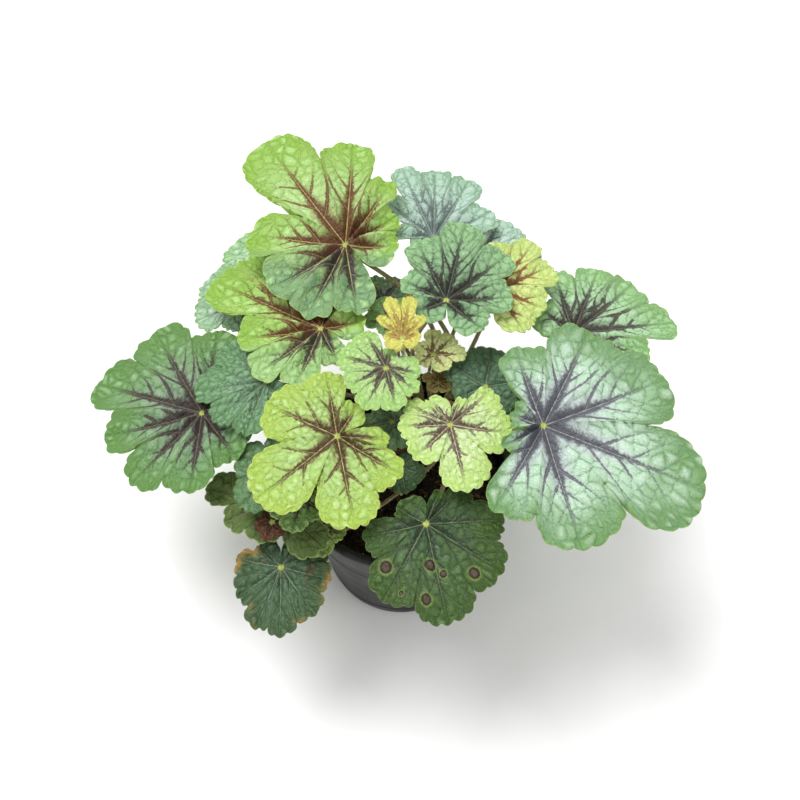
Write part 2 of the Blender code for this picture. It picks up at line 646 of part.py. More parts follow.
def build_soil(look):
    bottom = FLOOR_THICK + SOIL_GAP
    rim = pot_inside(SOIL_TOP - 2) - SOIL_GAP - 0.4
    foot = pot_inside(bottom) - SOIL_GAP - 1.8
    profile = [(0, bottom), (foot, bottom), (rim, SOIL_TOP - 2.4)]
    profile += [(rim * share, SOIL_TOP) for share in (0.97, 0.82, 0.64, 0.46, 0.28)]
    work = spun(profile + [(0, SOIL_TOP)], SOIL_STEPS)
    for vert in work.verts:
        if vert.co.z == SOIL_TOP:
            vert.co.z = soil_height(vert.co.x, vert.co.y)
    bmesh.ops.triangulate(work, faces=work.faces)
    made = add_object("soil", work, look, smooth=False)
    r = CROWN_R + SOIL_GAP
    hole = spun([(0, CROWN_FOOT - SOIL_GAP), (r, CROWN_FOOT - SOIL_GAP), (r, SOIL_TOP + 9),
                 (0, SOIL_TOP + 9)], CROWN_STEPS, (CROWN_X, CROWN_Y))
    boolean(made, add_object("crown_hole", hole, look), "DIFFERENCE")


def build_crown(look):
    """The woody dome that the stalks stand in, with a plain hole for each of them."""
    profile = [(0, CROWN_FOOT), (CROWN_R - 5, CROWN_FOOT), (CROWN_R - 0.5, SOIL_TOP - 4)]
    for share in (1.0, 0.86, 0.7, 0.52, 0.34, 0.16, 0):
        profile.append((CROWN_R * share, crown_height(CROWN_R * share, 0)))
    made = add_object("crown", spun(profile, CROWN_STEPS, (CROWN_X, CROWN_Y)), look)
    for turn, lean, length in STUBS:
        a = math.radians(turn)
        x, y = STUB_OUT * math.cos(a), STUB_OUT * math.sin(a)
        foot = Vector((CROWN_X + x, CROWN_Y + y, crown_height(x, y) - 3))
        way = Vector((lean * math.cos(a), lean * math.sin(a), 1)).normalized()
        stub = bmesh.new()
        add_rod(stub, foot, foot + way * length, STUB_R, 6)
        boolean(made, add_object("stub", stub, look), "UNION")
    holes = bmesh.new()
    for spec in LEAVES:
        foot, way = spec["foot"], spec["way"]
        add_rod(holes, foot - way * SOCKET_DEPTH, foot + way * 6,
                stalk_r(spec) * 1.15 + SOCKET_GAP, STALK_SIDES)
    boolean(made, add_object("socket_cutter", holes, look), "DIFFERENCE")


def main():
    for old in list(bpy.data.objects):
        bpy.data.objects.remove(old, do_unlink=True)
    design_leaves()
    settle_blades()
    choose_roots()
    route_stalks()
    build_pot(material("pot_plastic", (0.015, 0.015, 0.016), 0.5))
    build_soil(material("potting_mix", (0.03, 0.022, 0.015), 0.95))
    build_crown(material("woody_crown", (0.22, 0.12, 0.07), 0.8))
    for spec in LEAVES:
        work = from_points(*leaf_mesh(spec))
        add_object(spec["name"], work, material(spec["name"], spec["colour"], 0.55))


main()
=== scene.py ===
"""The heuchera's looks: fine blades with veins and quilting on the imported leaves, hairy stalks, the
crown's scales, crumbs of potting mix, the pot, and all their materials, with light and camera.

Lengths are in millimetres, and angles in degrees from +X. Each leaf repeats the design of its solid:
hub, base notch, lobes and cuts. How high it is held, its slope and its stalk's path are read from
the solid, so the fine leaf lies where the solid is."""

import math
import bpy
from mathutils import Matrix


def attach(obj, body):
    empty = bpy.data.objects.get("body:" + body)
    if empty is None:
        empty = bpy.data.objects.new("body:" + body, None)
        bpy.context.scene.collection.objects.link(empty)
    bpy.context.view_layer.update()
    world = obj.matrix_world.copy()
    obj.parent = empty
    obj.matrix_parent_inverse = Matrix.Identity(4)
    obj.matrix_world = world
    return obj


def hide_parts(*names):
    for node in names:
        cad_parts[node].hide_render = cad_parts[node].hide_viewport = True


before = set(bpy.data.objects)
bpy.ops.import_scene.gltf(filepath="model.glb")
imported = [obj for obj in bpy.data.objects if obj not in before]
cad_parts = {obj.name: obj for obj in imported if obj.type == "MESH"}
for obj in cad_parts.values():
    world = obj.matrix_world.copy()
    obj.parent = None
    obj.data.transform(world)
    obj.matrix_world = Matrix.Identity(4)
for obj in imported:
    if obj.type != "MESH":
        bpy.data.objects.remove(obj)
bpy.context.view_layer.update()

from types import SimpleNamespace

import bmesh
import bpy
import numpy as np
from mathutils import Matrix, Vector, kdtree
from mathutils.bvhtree import BVHTree

MM = 0.001
TURN = 2 * math.pi

# Form of a blade, as in its solid
CUT = 0.92
LOBE_FULL = 2.3
SINUS_SHARE, SINUS_LEAST = 0.1, 5.0
TOOTH_LEAST, TOOTH_SHARE, TOOTH_MOST = 3.6, 0.09, 10.6
BITE, BITE_MOST = 0.3, 0.05
FOLD, TIP_DIP, RIPPLE = 0.035, 0.03, 0.016
DROOP_R = 520.0
HUB_R = 1.9
PALM_SPREAD, PALM_FALL = 125.0, 0.3
SOLID_THICK = 0.9
STALK_R_LEAST, STALK_R_SHARE, STALK_R_MOST = 0.75, 0.0125, 1.45
STALK_STEPS = 6
# How a leaf's plane is read from its solid: points this near the margin, fitted ever closer
PAIR_SLACK = 0.02
OUTER_SHARE, OUTER_REACH = 0.88, 0.5
FIT_LIMITS, FIT_LEAST = (1.0, 0.3, 0.15), 8

# Finer form of a blade: the grid's step, how finely a margin is sampled, the thickness at the middle
# and edge, and the notches between teeth, with NO_TOOTH standing for the stretch by the base notch
GRAIN = 0.97
RINGS_SHARE, RINGS_LEAST = 0.8, 7
LOBE_SAMPLES, MARGIN_SAMPLES = 60, 120
BLADE_THICK, EDGE_THIN, EDGE_WIDE = 0.5, 0.55, 1.2
NOTCH_SHARP = 0.75
BITE_KEPT, BITE_LEAST, BITE_FADES = 36.0, 0.55, 12
NO_TOOTH = 9999.0
# Relief: the cells between the fine veins, grooves over the veins and ridges under them as height and
# width, the funnel at the hub, and the frill of the margin
CELL_GROWS, CELL_SLOPE = 190, 0.42
SMOOTH_BY_HUB = (2, 9)
MAIN_GROOVE, MAIN_GROOVE_W = 0.5, 1.1
SIDE_GROOVE, SIDE_GROOVE_W = 0.3, 0.8
MAIN_RIDGE, MAIN_RIDGE_W = 0.9, 0.75
SIDE_RIDGE, SIDE_RIDGE_W = 0.55, 0.55
FUNNEL, FUNNEL_R = 1.3, 5.0
FRILL, FRILL_WAVES = 0.012, 2.5
# Side veins: one for so many millimetres of main vein, where along it they leave, and their forks
LATERAL_EVERY, LATERALS_MOST, LATERAL_FROM, LATERAL_SPAN = 22, 3, 0.24, 0.56
LATERAL_SPREAD, FORK_LEAST, FORK_TURN = 0.47, 14, 0.09
VEIN_SAMPLE = 0.5
# Stalks and their hairs
STALK_RINGS = 26
STALK_NARROW, FLARE, FLARE_RINGS, FOOT_SWELL = 0.8, 0.5, 1.6, 0.25
EVEN_BY = 6
HAIRS_PER_MM, HAIR_R, HAIR_SHORT, HAIR_LONG = 2.6, 0.055, 0.8, 2.0
# How much of its light a dark zone keeps
ZONE_DEEP = 0.42
SEED = 11

# Pot and crown, as in their solids
POT_HEIGHT, POT_RIM_R, POT_FOOT_R, POT_WALL = 110.0, 65.0, 45.0, 1.6
RIM_LIP, RIM_DROP, FLOOR_THICK = 4.6, 14.0, 2.4
DRAIN_HOLES, DRAIN_R, DRAIN_RING_R = 6, 4.5, 29.0
SOIL_TOP = 97.0
CROWN_X, CROWN_Y, CROWN_R, CROWN_TOP = 12.0, 30.0, 21.0, 111.0
# Rings round the pot's wall: heights and how far they stand out
WALL_RINGS, RING_OUT = (9.0, 70.0, 84.0), 0.45
POT_STEPS = 144
# Dead stalks: heading, how far out they end, and how high they arch over the crown
DRY_STALKS = ((22, 27, 12), (40, 25, 16), (58, 22, 10), (118, 27, 8), (172, 33, 9), (214, 38, 7),
              (262, 40, 8), (305, 38, 6), (345, 36, 10))
DRY_RINGS, DRY_R, DRY_START, DRY_SWERVE = 24, (1.35, 0.75), 9, 7
# Crumbs of the soil: how many, their size, and the tones from which they are bark and perlite
CRUMBS, CRUMB_LEAST, CRUMB_SPAN = 2400, 0.5, 1.3
BARK_FROM, PERLITE_FROM = 0.7, 0.965
# Scales at the foot of each stalk, with their half widths in radians round it
SCALES_EACH, SCALE_THICK = 3, 0.22
SCALE_LENGTHS, SCALE_WIDTHS = (6, 11), (0.75, 1.1)
SCALE_ROWS, SCALE_COLUMNS = 7, 5

# Camera and light, in metres, watts and degrees
ELEVATION = 58.0
LENS = 58.86
CAMERA_AT = (-0.0006, -0.3658, 0.7658)
SKY = 0.6
KEY_AT, KEY_POWER, KEY_WIDTH = (-0.4, 0.35, 1.3), 2.7, 36.0
FILL_AT, FILL_POWER, FILL_SIZE = (0.9, -0.7, 0.9), 5.0, 1.4
LIT = (0, 0.03, 0.14)
FLOOR = 30

LEAVES = []


def srgb(red, green, blue):
    """A colour given as it looks on a screen, 0 to 255, as linear light."""
    return tuple(((v / 255 + 0.055) / 1.055) ** 2.4 if v > 10 else v / 3295 for v in (red, green, blue))


# How a leaf looks: body between the veins near the hub, outer toward the margin, patch the pale
# areas between the net, zone the dark areas along the veins with halo round them, line the veins,
# net the fine veins and rim the margin, all as they look on a screen. zone_w is the dark zone's half
# width at hub and tip. side_w scales it on side veins, and halo_w is the halo's in zone widths. line_w
# is half a main vein's line. Names in _on are strengths. outer_from is where outer starts, as a share
# of the reach. pucker and cell are the height and size of the quilting, in millimetres. shade is
# painted shade on the side of the leaf toward a heading: a darker, bluer tint, that heading and how
# far toward it the tint takes over. spots are (x, y, radius), and blotch is the strength of
# dead patches
COLOURS = ("body", "outer", "patch", "zone", "halo", "line", "net", "rim", "stalk")
PLAIN = dict(body=(150, 184, 120), outer=(124, 164, 92), patch=(176, 206, 150), zone=(96, 66, 60),
             halo=(140, 150, 120), line=(170, 186, 130), net=(96, 134, 74), rim=(160, 190, 96),
             stalk=(154, 142, 100), zone_w=(2.2, 0.5), side_w=0.55, halo_w=2.2, zone_on=0.9,
             halo_on=0.5, line_w=0.42, line_on=0.7, net_on=0.5, patch_on=0.7, outer_from=0.35,
             pucker=0.75, cell=4.6, shade=None, spots=(), blotch=0.0, rough=0.5)
LIME = dict(PLAIN, body=(180, 210, 138), outer=(138, 182, 62), patch=(200, 226, 158),
            zone=(132, 34, 12), halo=(146, 128, 70), line=(214, 206, 122), net=(112, 152, 62),
            rim=(176, 206, 96), zone_w=(3.4, 0.7), side_w=0.9)
MINT = dict(PLAIN, body=(198, 222, 202), outer=(164, 202, 152), patch=(216, 234, 220),
            zone=(112, 106, 128), halo=(192, 192, 204), line=(186, 196, 176), net=(96, 140, 100),
            rim=(140, 180, 74), halo_w=3.4, halo_on=0.6, net_on=0.75, outer_from=0.45, pucker=0.95,
            cell=5.4)
DEEP = dict(PLAIN, body=(104, 138, 102), outer=(78, 112, 62), patch=(122, 154, 118), zone=(60, 76, 56),
            halo=(110, 140, 112), line=(150, 174, 134), net=(48, 76, 42), rim=(96, 124, 58),
            zone_on=0.5, net_on=0.65, pucker=1.1)
LOOKS = {}


def look(name, base, **changes):
    """Says how one leaf differs from a palette."""
    LOOKS[name] = dict(base, **changes)


look("leaf_right_big", MINT, zone_w=(5.0, 0.7), side_w=0.8, patch_on=0.55, body=(186, 216, 188),
     patch=(212, 232, 218), outer=(104, 146, 78))
look("leaf_young_golden", LIME, body=(214, 214, 106), outer=(202, 214, 98), patch=(226, 212, 128),
     zone=(176, 84, 60), zone_on=0.6, line=(206, 150, 96), rim=(176, 140, 70), cell=2.6,
     net=(176, 148, 70), net_on=0.4, side_w=0.35, halo_on=0.0, zone_w=(1.0, 0.35),
     stalk=(200, 198, 146), pucker=0.5)
look("leaf_top_middle", DEEP, body=(130, 162, 124), outer=(146, 188, 132), patch=(160, 194, 152),
     zone=(62, 36, 46), zone_on=0.9, zone_w=(2.8, 0.6), side_w=0.8, halo=(96, 120, 92), line_on=0.35,
     net=(66, 100, 64), rim=(140, 176, 110), pucker=0.8)
# Painted shade on its front lobes: a darker, bluish tint toward the front
look("leaf_back_left_big", LIME, shade=(srgb(122, 160, 116), 268, 0.16), zone_w=(5.2, 0.7), side_w=1.0,
     patch=(186, 222, 148), line_w=0.5)
look("leaf_middle_green", PLAIN, body=(182, 212, 140), outer=(160, 202, 110), patch=(204, 228, 172),
     zone=(104, 66, 76), line_on=0.5, zone_w=(1.8, 0.45), side_w=0.4, net=(130, 170, 96),
     rim=(184, 212, 120), cell=3.2)
look("leaf_small_olive", LIME, body=(234, 240, 172), outer=(226, 240, 158), cell=2.6,
     patch=(242, 248, 200), zone=(132, 66, 60), zone_w=(0.9, 0.25), side_w=0.3, net=(176, 170, 110),
     rim=(210, 206, 130), halo_on=0.1)
look("leaf_middle_lime", PLAIN, body=(200, 220, 160), outer=(180, 212, 108), patch=(222, 238, 192),
     zone=(126, 82, 84), zone_w=(2.0, 0.5), halo=(190, 190, 150), line=(224, 226, 180), halo_w=1.6,
     net=(162, 196, 110), rim=(220, 240, 160), cell=3.6)
look("leaf_front_yellow", LIME, body=(172, 204, 122), outer=(164, 194, 76), patch=(198, 222, 158),
     zone=(104, 48, 42), zone_w=(3.2, 0.6), side_w=0.8, cell=4.0, rim=(208, 222, 108),
     net=(134, 170, 66))
# Painted shade on its front side: a darker, bluer tint toward the front
look("leaf_left_upper", LIME, body=(176, 212, 118), patch=(196, 226, 156),
     shade=(srgb(158, 198, 130), 275, 0.14), zone_w=(4.4, 0.7))
look("leaf_back_yellow", LIME, body=(212, 224, 138), outer=(190, 212, 120), patch=(224, 236, 164),
     zone=(168, 84, 56), zone_w=(1.6, 0.5), line=(186, 110, 70), halo=(190, 180, 100), net_on=0.35)
look("leaf_back_pale", MINT, body=(180, 206, 192), outer=(160, 194, 168), patch=(200, 220, 210),
     zone=(112, 132, 132), zone_on=0.75, halo=(168, 186, 182), zone_w=(2.0, 0.6), rim=(170, 196, 160))
look("leaf_back_right_pale", MINT, body=(190, 212, 202), outer=(168, 200, 176), zone=(120, 138, 138),
     zone_w=(1.8, 0.6))
look("leaf_right_back", PLAIN, body=(176, 212, 170), outer=(140, 186, 118), patch=(190, 222, 184),
     zone=(84, 56, 66), zone_w=(3.4, 0.6), side_w=0.8, halo=(140, 146, 140), line_on=0.3, net_on=0.6)
look("leaf_behind_young", PLAIN, zone_w=(1.2, 0.4), cell=2.8)
look("leaf_back_grey", MINT, body=(160, 184, 158), outer=(140, 172, 136), cell=3.0)
look("leaf_back_left_bright", MINT, body=(176, 208, 168), outer=(150, 196, 130))
look("leaf_back_left_pale", MINT, body=(178, 206, 178), outer=(156, 192, 148))
look("leaf_left_dark", DEEP, body=(128, 166, 126), outer=(106, 150, 98), patch=(146, 180, 146),
     line=(166, 192, 152), zone_on=0.3, net=(62, 98, 62), pucker=1.6, cell=4.2, net_on=0.8)
look("leaf_far_left", PLAIN, body=(126, 160, 116), outer=(92, 138, 58), patch=(162, 194, 152),
     zone=(86, 44, 58), zone_w=(4.4, 0.7), side_w=0.9, halo=(136, 146, 138), halo_w=3.2, line_on=0.3,
     net=(84, 124, 68), net_on=0.65, rim=(130, 170, 78))
look("leaf_front_dark", DEEP, body=(74, 100, 62), outer=(54, 84, 10), pucker=0.8, patch=(100, 128, 82),
     net=(36, 60, 24), line=(128, 146, 96), zone=(62, 78, 58), zone_on=0.75, zone_w=(2.2, 0.6),
     halo_on=0.15, outer_from=0.18,
     spots=((-21, -22, 3.2), (2, -21, 3.0), (9, -25, 2.0), (25, -25, 3.2), (0, -38, 2.8), (-13, -35, 1.4)))
look("leaf_right_shade", DEEP, body=(92, 124, 98), outer=(88, 120, 90), pucker=0.9)
look("leaf_young_red", LIME, body=(166, 128, 84), outer=(150, 96, 66), cell=2.2, patch=(190, 150, 100),
     zone=(120, 60, 44), zone_w=(1.0, 0.4), stalk=(150, 96, 76))
look("leaf_middle_grey", DEEP, body=(128, 156, 120), outer=(110, 142, 98))
look("leaf_right_under", DEEP, body=(120, 150, 130), outer=(108, 142, 116))
look("leaf_low_oval", DEEP, body=(84, 116, 80), outer=(70, 100, 58), cell=2.8)
look("leaf_left_grey", DEEP, body=(114, 148, 110), outer=(96, 134, 84))
look("leaf_low_green", PLAIN, body=(126, 164, 88), outer=(112, 152, 70), cell=3.2)
look("leaf_withered", PLAIN, body=(116, 78, 48), outer=(92, 56, 34), cell=2.4, patch=(136, 96, 60),
     zone=(60, 36, 24), line=(130, 92, 60), net=(70, 42, 26), rim=(70, 42, 26), pucker=1.4, rough=0.8,
     halo=(100, 64, 40), stalk=(104, 70, 46))
look("leaf_low_dark", DEEP, body=(82, 114, 76), outer=(66, 96, 52))
look("leaf_low_olive", PLAIN, body=(92, 114, 54), outer=(76, 98, 40), patch=(106, 126, 66),
     zone=(70, 76, 44), zone_on=0.4, line=(150, 162, 106), net=(90, 112, 54))
look("leaf_low_spotted", PLAIN, body=(150, 168, 84), outer=(138, 156, 70), cell=3.0,
     spots=((3, -7, 2.2), (-4, -9, 1.6), (-1, -4, 1.4)))
look("leaf_front_left_dark", DEEP, body=(76, 104, 72), outer=(58, 82, 44), patch=(104, 130, 100),
     pucker=2.1, cell=5.0, blotch=0.6, net_on=0.55)


def leaf(name, at, sinus, tips, cut=CUT):
    """One leaf, its lobes anticlockwise from the base notch as (angle, reach)."""
    size = max(reach for _, reach in tips)
    spec = dict(LOOKS[name], name=name, at=np.array(at, float), sinus=sinus, tips=tips, cut=cut,
                size=size)
    for part in COLOURS:
        spec[part] = srgb(*spec[part])
    spec["cell"] *= 1 + size / CELL_GROWS
    LEAVES.append(spec)


def palm(name, at, heading, size, lobes=5, cut=0.8):
    """A half-hidden leaf: even lobes spread about a heading, shorter toward its base."""
    tips = []
    for k in range(lobes):
        turn = PALM_SPREAD * (2 * k / (lobes - 1) - 1)
        tips.append((heading + turn, size * (1 - PALM_FALL * (turn / PALM_SPREAD) ** 2)))
    leaf(name, at, heading + 180, tips, cut)


def design_leaves():
    """Every leaf as in its solid, its hub's place in plan, base notch and lobes."""
    leaf("leaf_right_big", at=(75, -12), sinus=-165,
         tips=((-150, 26), (-120, 55), (-74, 67), (-14, 92), (29, 82), (65, 72), (106, 48),
               (156, 19)),
         cut=(0.95, 0.9, 0.83, 0.71, 0.97, 0.95, 0.95))
    leaf("leaf_young_golden", at=(1, 36), sinus=-84,
         tips=((15, 10), (50, 19), (82, 28), (106, 29), (134, 20), (165, 11)),
         cut=(0.8, 0.7, 0.62, 0.65, 0.75))
    leaf("leaf_top_middle", at=(25, 65), sinus=-89,
         tips=((-40, 27), (8, 38), (45, 51), (78, 59), (110, 47), (148, 29), (200, 19)))
    leaf("leaf_back_left_big", at=(-32, 108), sinus=-54,
         tips=((2, 31), (38, 38), (62, 56), (88, 86), (120, 104), (165, 60), (212, 51), (245, 50),
               (280, 46)),
         cut=(0.95, 0.95, 0.95, 0.8, 0.62, 0.85, 0.93, 0.93))
    leaf("leaf_middle_green", at=(-8, 21), sinus=46,
         tips=((82, 13), (115, 28), (160, 28), (207, 24), (245, 28), (282, 27), (318, 23),
               (350, 19)),
         cut=0.9)
    leaf("leaf_small_olive", at=(18, 43), sinus=-103,
         tips=((-50, 13), (5, 19), (50, 18), (92, 18), (137, 12), (215, 11)), cut=0.8)
    leaf("leaf_middle_lime", at=(26, -10), sinus=85,
         tips=((122, 20), (152, 27), (182, 28), (225, 28), (283, 38), (355, 34), (405, 33),
               (430, 18)),
         cut=(0.9, 0.9, 0.86, 0.62, 0.62, 0.86, 0.95))
    leaf("leaf_front_yellow", at=(-34, -14), sinus=20,
         tips=((60, 22), (100, 39), (151, 45), (217, 54), (282, 50), (328, 41), (358, 28)),
         cut=(0.95, 0.88, 0.53, 0.46, 0.88, 0.95))
    leaf("leaf_left_upper", at=(-45, 57), sinus=-36,
         tips=((15, 26), (80, 45), (126, 78), (144, 82), (180, 48), (216, 46), (250, 40),
               (296, 26)),
         cut=(0.95, 0.95, 0.96, 0.95, 0.85, 0.88, 0.95))
    leaf("leaf_back_yellow", at=(54, 80), sinus=-102,
         tips=((-62, 32), (-20, 30), (35, 41), (59, 48), (88, 39), (130, 16)))
    leaf("leaf_back_pale", at=(19, 118), sinus=-91,
         tips=((-20, 22), (38, 45), (68, 62), (88, 67), (105, 72), (128, 45), (162, 24), (215, 15)))
    palm("leaf_back_right_pale", at=(45, 105), heading=70, size=43, cut=0.92)
    leaf("leaf_right_back", at=(98, 61), sinus=-155,
         tips=((-60, 24), (-10, 46), (21, 70), (50, 65), (70, 62), (98, 51), (134, 27)),
         cut=(0.95, 0.95, 0.93, 0.94, 0.9, 0.92))
    palm("leaf_behind_young", at=(-5, 70), heading=120, size=18)
    palm("leaf_back_grey", at=(-10, 90), heading=120, size=20)
    palm("leaf_back_left_bright", at=(-75, 115), heading=130, size=40, cut=0.9)
    leaf("leaf_left_dark", at=(-75, 28), sinus=-8,
         tips=((75, 12), (128, 40), (178, 42), (215, 36), (252, 34), (305, 16)),
         cut=(0.95, 0.8, 0.82, 0.85, 0.95))
    leaf("leaf_far_left", at=(-112, 18), sinus=-8,
         tips=((40, 28), (85, 58), (118, 76), (150, 82), (180, 60), (220, 53), (265, 48),
               (306, 38)),
         cut=(0.95, 0.95, 0.86, 0.92, 0.78, 0.9, 0.95))
    palm("leaf_back_left_pale", at=(-90, 100), heading=135, size=38, cut=0.9)
    leaf("leaf_front_dark", at=(13, -57), sinus=86,
         tips=((150, 18), (190, 34), (240, 45), (283, 51), (330, 47), (365, 42), (405, 30),
               (428, 20)),
         cut=0.88)
    palm("leaf_right_shade", at=(47, 27), heading=80, size=28, cut=0.9)
    palm("leaf_young_red", at=(21, 32), heading=90, size=11, cut=0.6)
    palm("leaf_middle_grey", at=(-5, 5), heading=250, size=20, cut=0.88)
    palm("leaf_right_under", at=(65, 25), heading=30, size=22)
    palm("leaf_low_oval", at=(0, -20), heading=280, size=15, cut=0.9)
    palm("leaf_left_grey", at=(-65, -20), heading=220, size=30)
    palm("leaf_low_green", at=(-55, -35), heading=260, size=20)
    palm("leaf_withered", at=(-70, -45), heading=250, size=11, cut=0.75)
    palm("leaf_low_dark", at=(-30, -25), heading=240, size=22)
    leaf("leaf_low_olive", at=(-72, -30), sinus=24,
         tips=((110, 15), (162, 40), (200, 28), (258, 24), (318, 43), (350, 28)), cut=0.85)
    palm("leaf_low_spotted", at=(-45, -45), heading=280, size=17, cut=0.75)
    leaf("leaf_front_left_dark", at=(-66, -63), sinus=92,
         tips=((130, 20), (162, 27), (207, 28), (246, 34), (270, 36), (307, 33), (345, 29),
               (382, 27), (415, 20)),
         cut=0.93)


def marks(spec):
    """The base notch, tips and notches of a leaf as (angle, reach), with angles that only rise."""
    cuts = spec["cut"] if isinstance(spec["cut"], tuple) else [spec["cut"]] * len(spec["tips"])
    base = max(SINUS_SHARE * spec["size"], SINUS_LEAST)
    found = [(spec["sinus"], base)]
    for k, (angle, reach) in enumerate(spec["tips"]):
        angle = found[-1][0] + (angle - found[-1][0]) % 360
        found.append((angle, reach))
        if k + 1 < len(spec["tips"]):
            after_angle, after_reach = spec["tips"][k + 1]
            found.append((angle + ((after_angle - angle) % 360) / 2,
                          cuts[k] * min(reach, after_reach)))
    found.append((spec["sinus"] + 360, base))
    return found


def lengths(line):
    """How far along a line each of its points lies."""
    return np.concatenate([[0], np.cumsum(np.hypot(*np.diff(line, axis=0).T))])


def tooth_width(spec):
    """The width of one tooth along the margin."""
    return min(TOOTH_LEAST + TOOTH_SHARE * spec["size"], TOOTH_MOST)


def trace_margin(spec):
    """Sets the untoothed margin, finely: its places, points, ways inward, how far round each half
    lobe runs, and the count of half teeth so far, with none by the base notch."""
    turns = marks(spec)
    places, points, phases, sides = [], [], [], []
    for k in range(len(spec["tips"])):
        halves = []
        tip = turns[2 * k + 1]
        up = np.linspace(1, 0, LOBE_SAMPLES)
        for notch, s in ((turns[2 * k], up), (turns[2 * k + 2], np.linspace(0, 1, LOBE_SAMPLES))):
            angle = np.radians(tip[0] + (notch[0] - tip[0]) * s)
            reach = notch[1] + (tip[1] - notch[1]) * (1 - s ** LOBE_FULL) ** (1 / LOBE_FULL)
            halves.append(np.stack([reach * np.cos(angle), reach * np.sin(angle)], 1))
        around = lengths(np.vstack(halves))[-1]
        steps = max(2 * round((around / tooth_width(spec) - 1) / 2) + 1, 1)
        for half, line in enumerate(halves):
            along = lengths(line)
            share = np.linspace(0, 1, MARGIN_SAMPLES, endpoint=False)
            points.append(np.stack([np.interp(share * along[-1], along, axis) for axis in line.T], 1))
            places.append(k + (half + share) / 2)
            phases.append((half + share) * steps)
            sides.append(along[-1])
    points = np.vstack(points)
    step = np.roll(points, -1, 0) - np.roll(points, 1, 0)
    inward = np.stack([-step[:, 1], step[:, 0]], 1) / np.linalg.norm(step, axis=1)[:, None]
    inward = (inward - points / np.linalg.norm(points, axis=1)[:, None]) / 2
    phase = np.concatenate(phases)
    first = np.concatenate([part < 1 for part in phases])
    spec.update(places=np.concatenate(places), points=points, inward=inward, sides=sides,
                phase=np.where(first, NO_TOOTH, phase))


def at_place(spec, place, values):
    """Values of the fine margin, read at places that run round it."""
    span = len(spec["tips"])
    places = np.append(spec["places"], span)
    return np.stack([np.interp(place % span, places, np.append(column, column[0]))
                     for column in values.T], 1)


def waves(spec, place, share):
    """Rise of the blade over its plane, as in its solid."""
    size = spec["size"]
    vein = np.cos(TURN * place)
    return (FOLD * size * vein * 4 * share * (1 - share)
            - TIP_DIP * size * share ** 4 * (1 - vein) / 2
            + RIPPLE * size * share ** 4 * np.sin(math.pi * place + sum(spec["at"])))


def solid_of(name):
    """Welded points of a node in millimetres and which of them are joined by an edge."""
    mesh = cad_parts[name].data
    points = np.array([v.co for v in mesh.vertices]) / MM
    points, first = np.unique(np.round(points, 3), axis=0, return_inverse=True)
    first = first.reshape(-1)
    joined = [set() for _ in points]
    for edge in mesh.edges:
        a, b = (int(first[v]) for v in edge.vertices)
        joined[a].add(b)
        joined[b].add(a)
    return points, joined


def read_solid(spec):
    """Sets the leaf's height, slope and stalk path from its solid: the outer blade points give the
    plane, and the rings of points down the stalk give its path."""
    points, joined = solid_of(spec["name"])
    offsets = points[:, :2] - spec["at"]
    pairs = {}
    for index, (x, y) in enumerate(np.round(offsets, 1)):
        pairs.setdefault((x, y), []).append(index)
    sheet = []
    for found in pairs.values():
        for a in found:
            for b in found:
                if abs(points[a][2] - points[b][2] - SOLID_THICK) < PAIR_SLACK:
                    sheet.append((a, b))
    in_blade = {index for pair in sheet for index in pair}
    above = np.array([pair[0] for pair in sheet])
    middle = points[above, 2] - SOLID_THICK / 2
    flat = offsets[above]
    tree = kdtree.KDTree(len(spec["points"]))
    for index, (x, y) in enumerate(spec["points"]):
        tree.insert((x, y, 0), index)
    tree.balance()
    near = [tree.find((x, y, 0))[1] for x, y in flat]
    reach = np.linalg.norm(spec["points"][near], axis=1)
    outer = (np.linalg.norm(flat, axis=1) > OUTER_SHARE * reach) & (reach > OUTER_REACH * spec["size"])
    place = spec["places"][near]
    rise = waves(spec, place, np.ones(len(place))) - (flat ** 2).sum(1) / (2 * DROOP_R)
    terms = np.column_stack([np.ones(len(flat)), flat])
    for limit in FIT_LIMITS:
        answer = np.linalg.lstsq(terms[outer], (middle - rise)[outer], rcond=None)[0]
        outer = outer & (np.abs(terms @ answer - (middle - rise)) < limit)
    if outer.sum() < FIT_LEAST:
        raise ValueError(spec["name"] + " and its solid don't share one design")
    spec["height"], spec["slope"] = answer[0], answer[1:]
    left = set(range(len(points))) - in_blade
    hub = min(left, key=lambda n: np.linalg.norm(offsets[n]) + abs(points[n][2] - spec["height"]))
    left.discard(hub)
    ring = {n for n in left if joined[n] & in_blade}
    path = [np.array((*spec["at"], spec["height"]))]
    while ring:
        path.append(points[list(ring)].mean(0))
        left -= ring
        ring = {n for n in left if joined[n] & ring}
    spec["path"] = np.array(path)


def stalk_line(spec, count):
    """Fine points down the stalk: one curve through the solid's rings, then straight into its hole."""
    path = spec["path"]
    t = (np.arange(STALK_STEPS + 1) / STALK_STEPS)[:, None]
    known = path[:STALK_STEPS + 1] - path[0] * (1 - t) ** 3 - path[STALK_STEPS] * t ** 3
    terms = np.hstack([3 * t * (1 - t) ** 2, 3 * t * t * (1 - t)])
    bends = np.linalg.lstsq(terms, known, rcond=None)[0]
    s = np.linspace(0, 1, count)[:, None]
    curve = (path[0] * (1 - s) ** 3 + bends[0] * 3 * s * (1 - s) ** 2
             + bends[1] * 3 * s * s * (1 - s) + path[STALK_STEPS] * s ** 3)
    return np.vstack([curve, path[-1]])


def bent(start, bend, end, t):
    """A point, or points, on the curve from start to end that heads for bend, with t from 0 to 1."""
    return start * (1 - t) ** 2 + bend * 2 * t * (1 - t) + end * t * t


def curve_between(start, bend, end):
    """Points along a simple curve, a sample's step apart."""
    count = max(int(np.linalg.norm(end - start) / VEIN_SAMPLE), 3)
    return bent(start, bend, end, np.linspace(0, 1, count)[:, None])


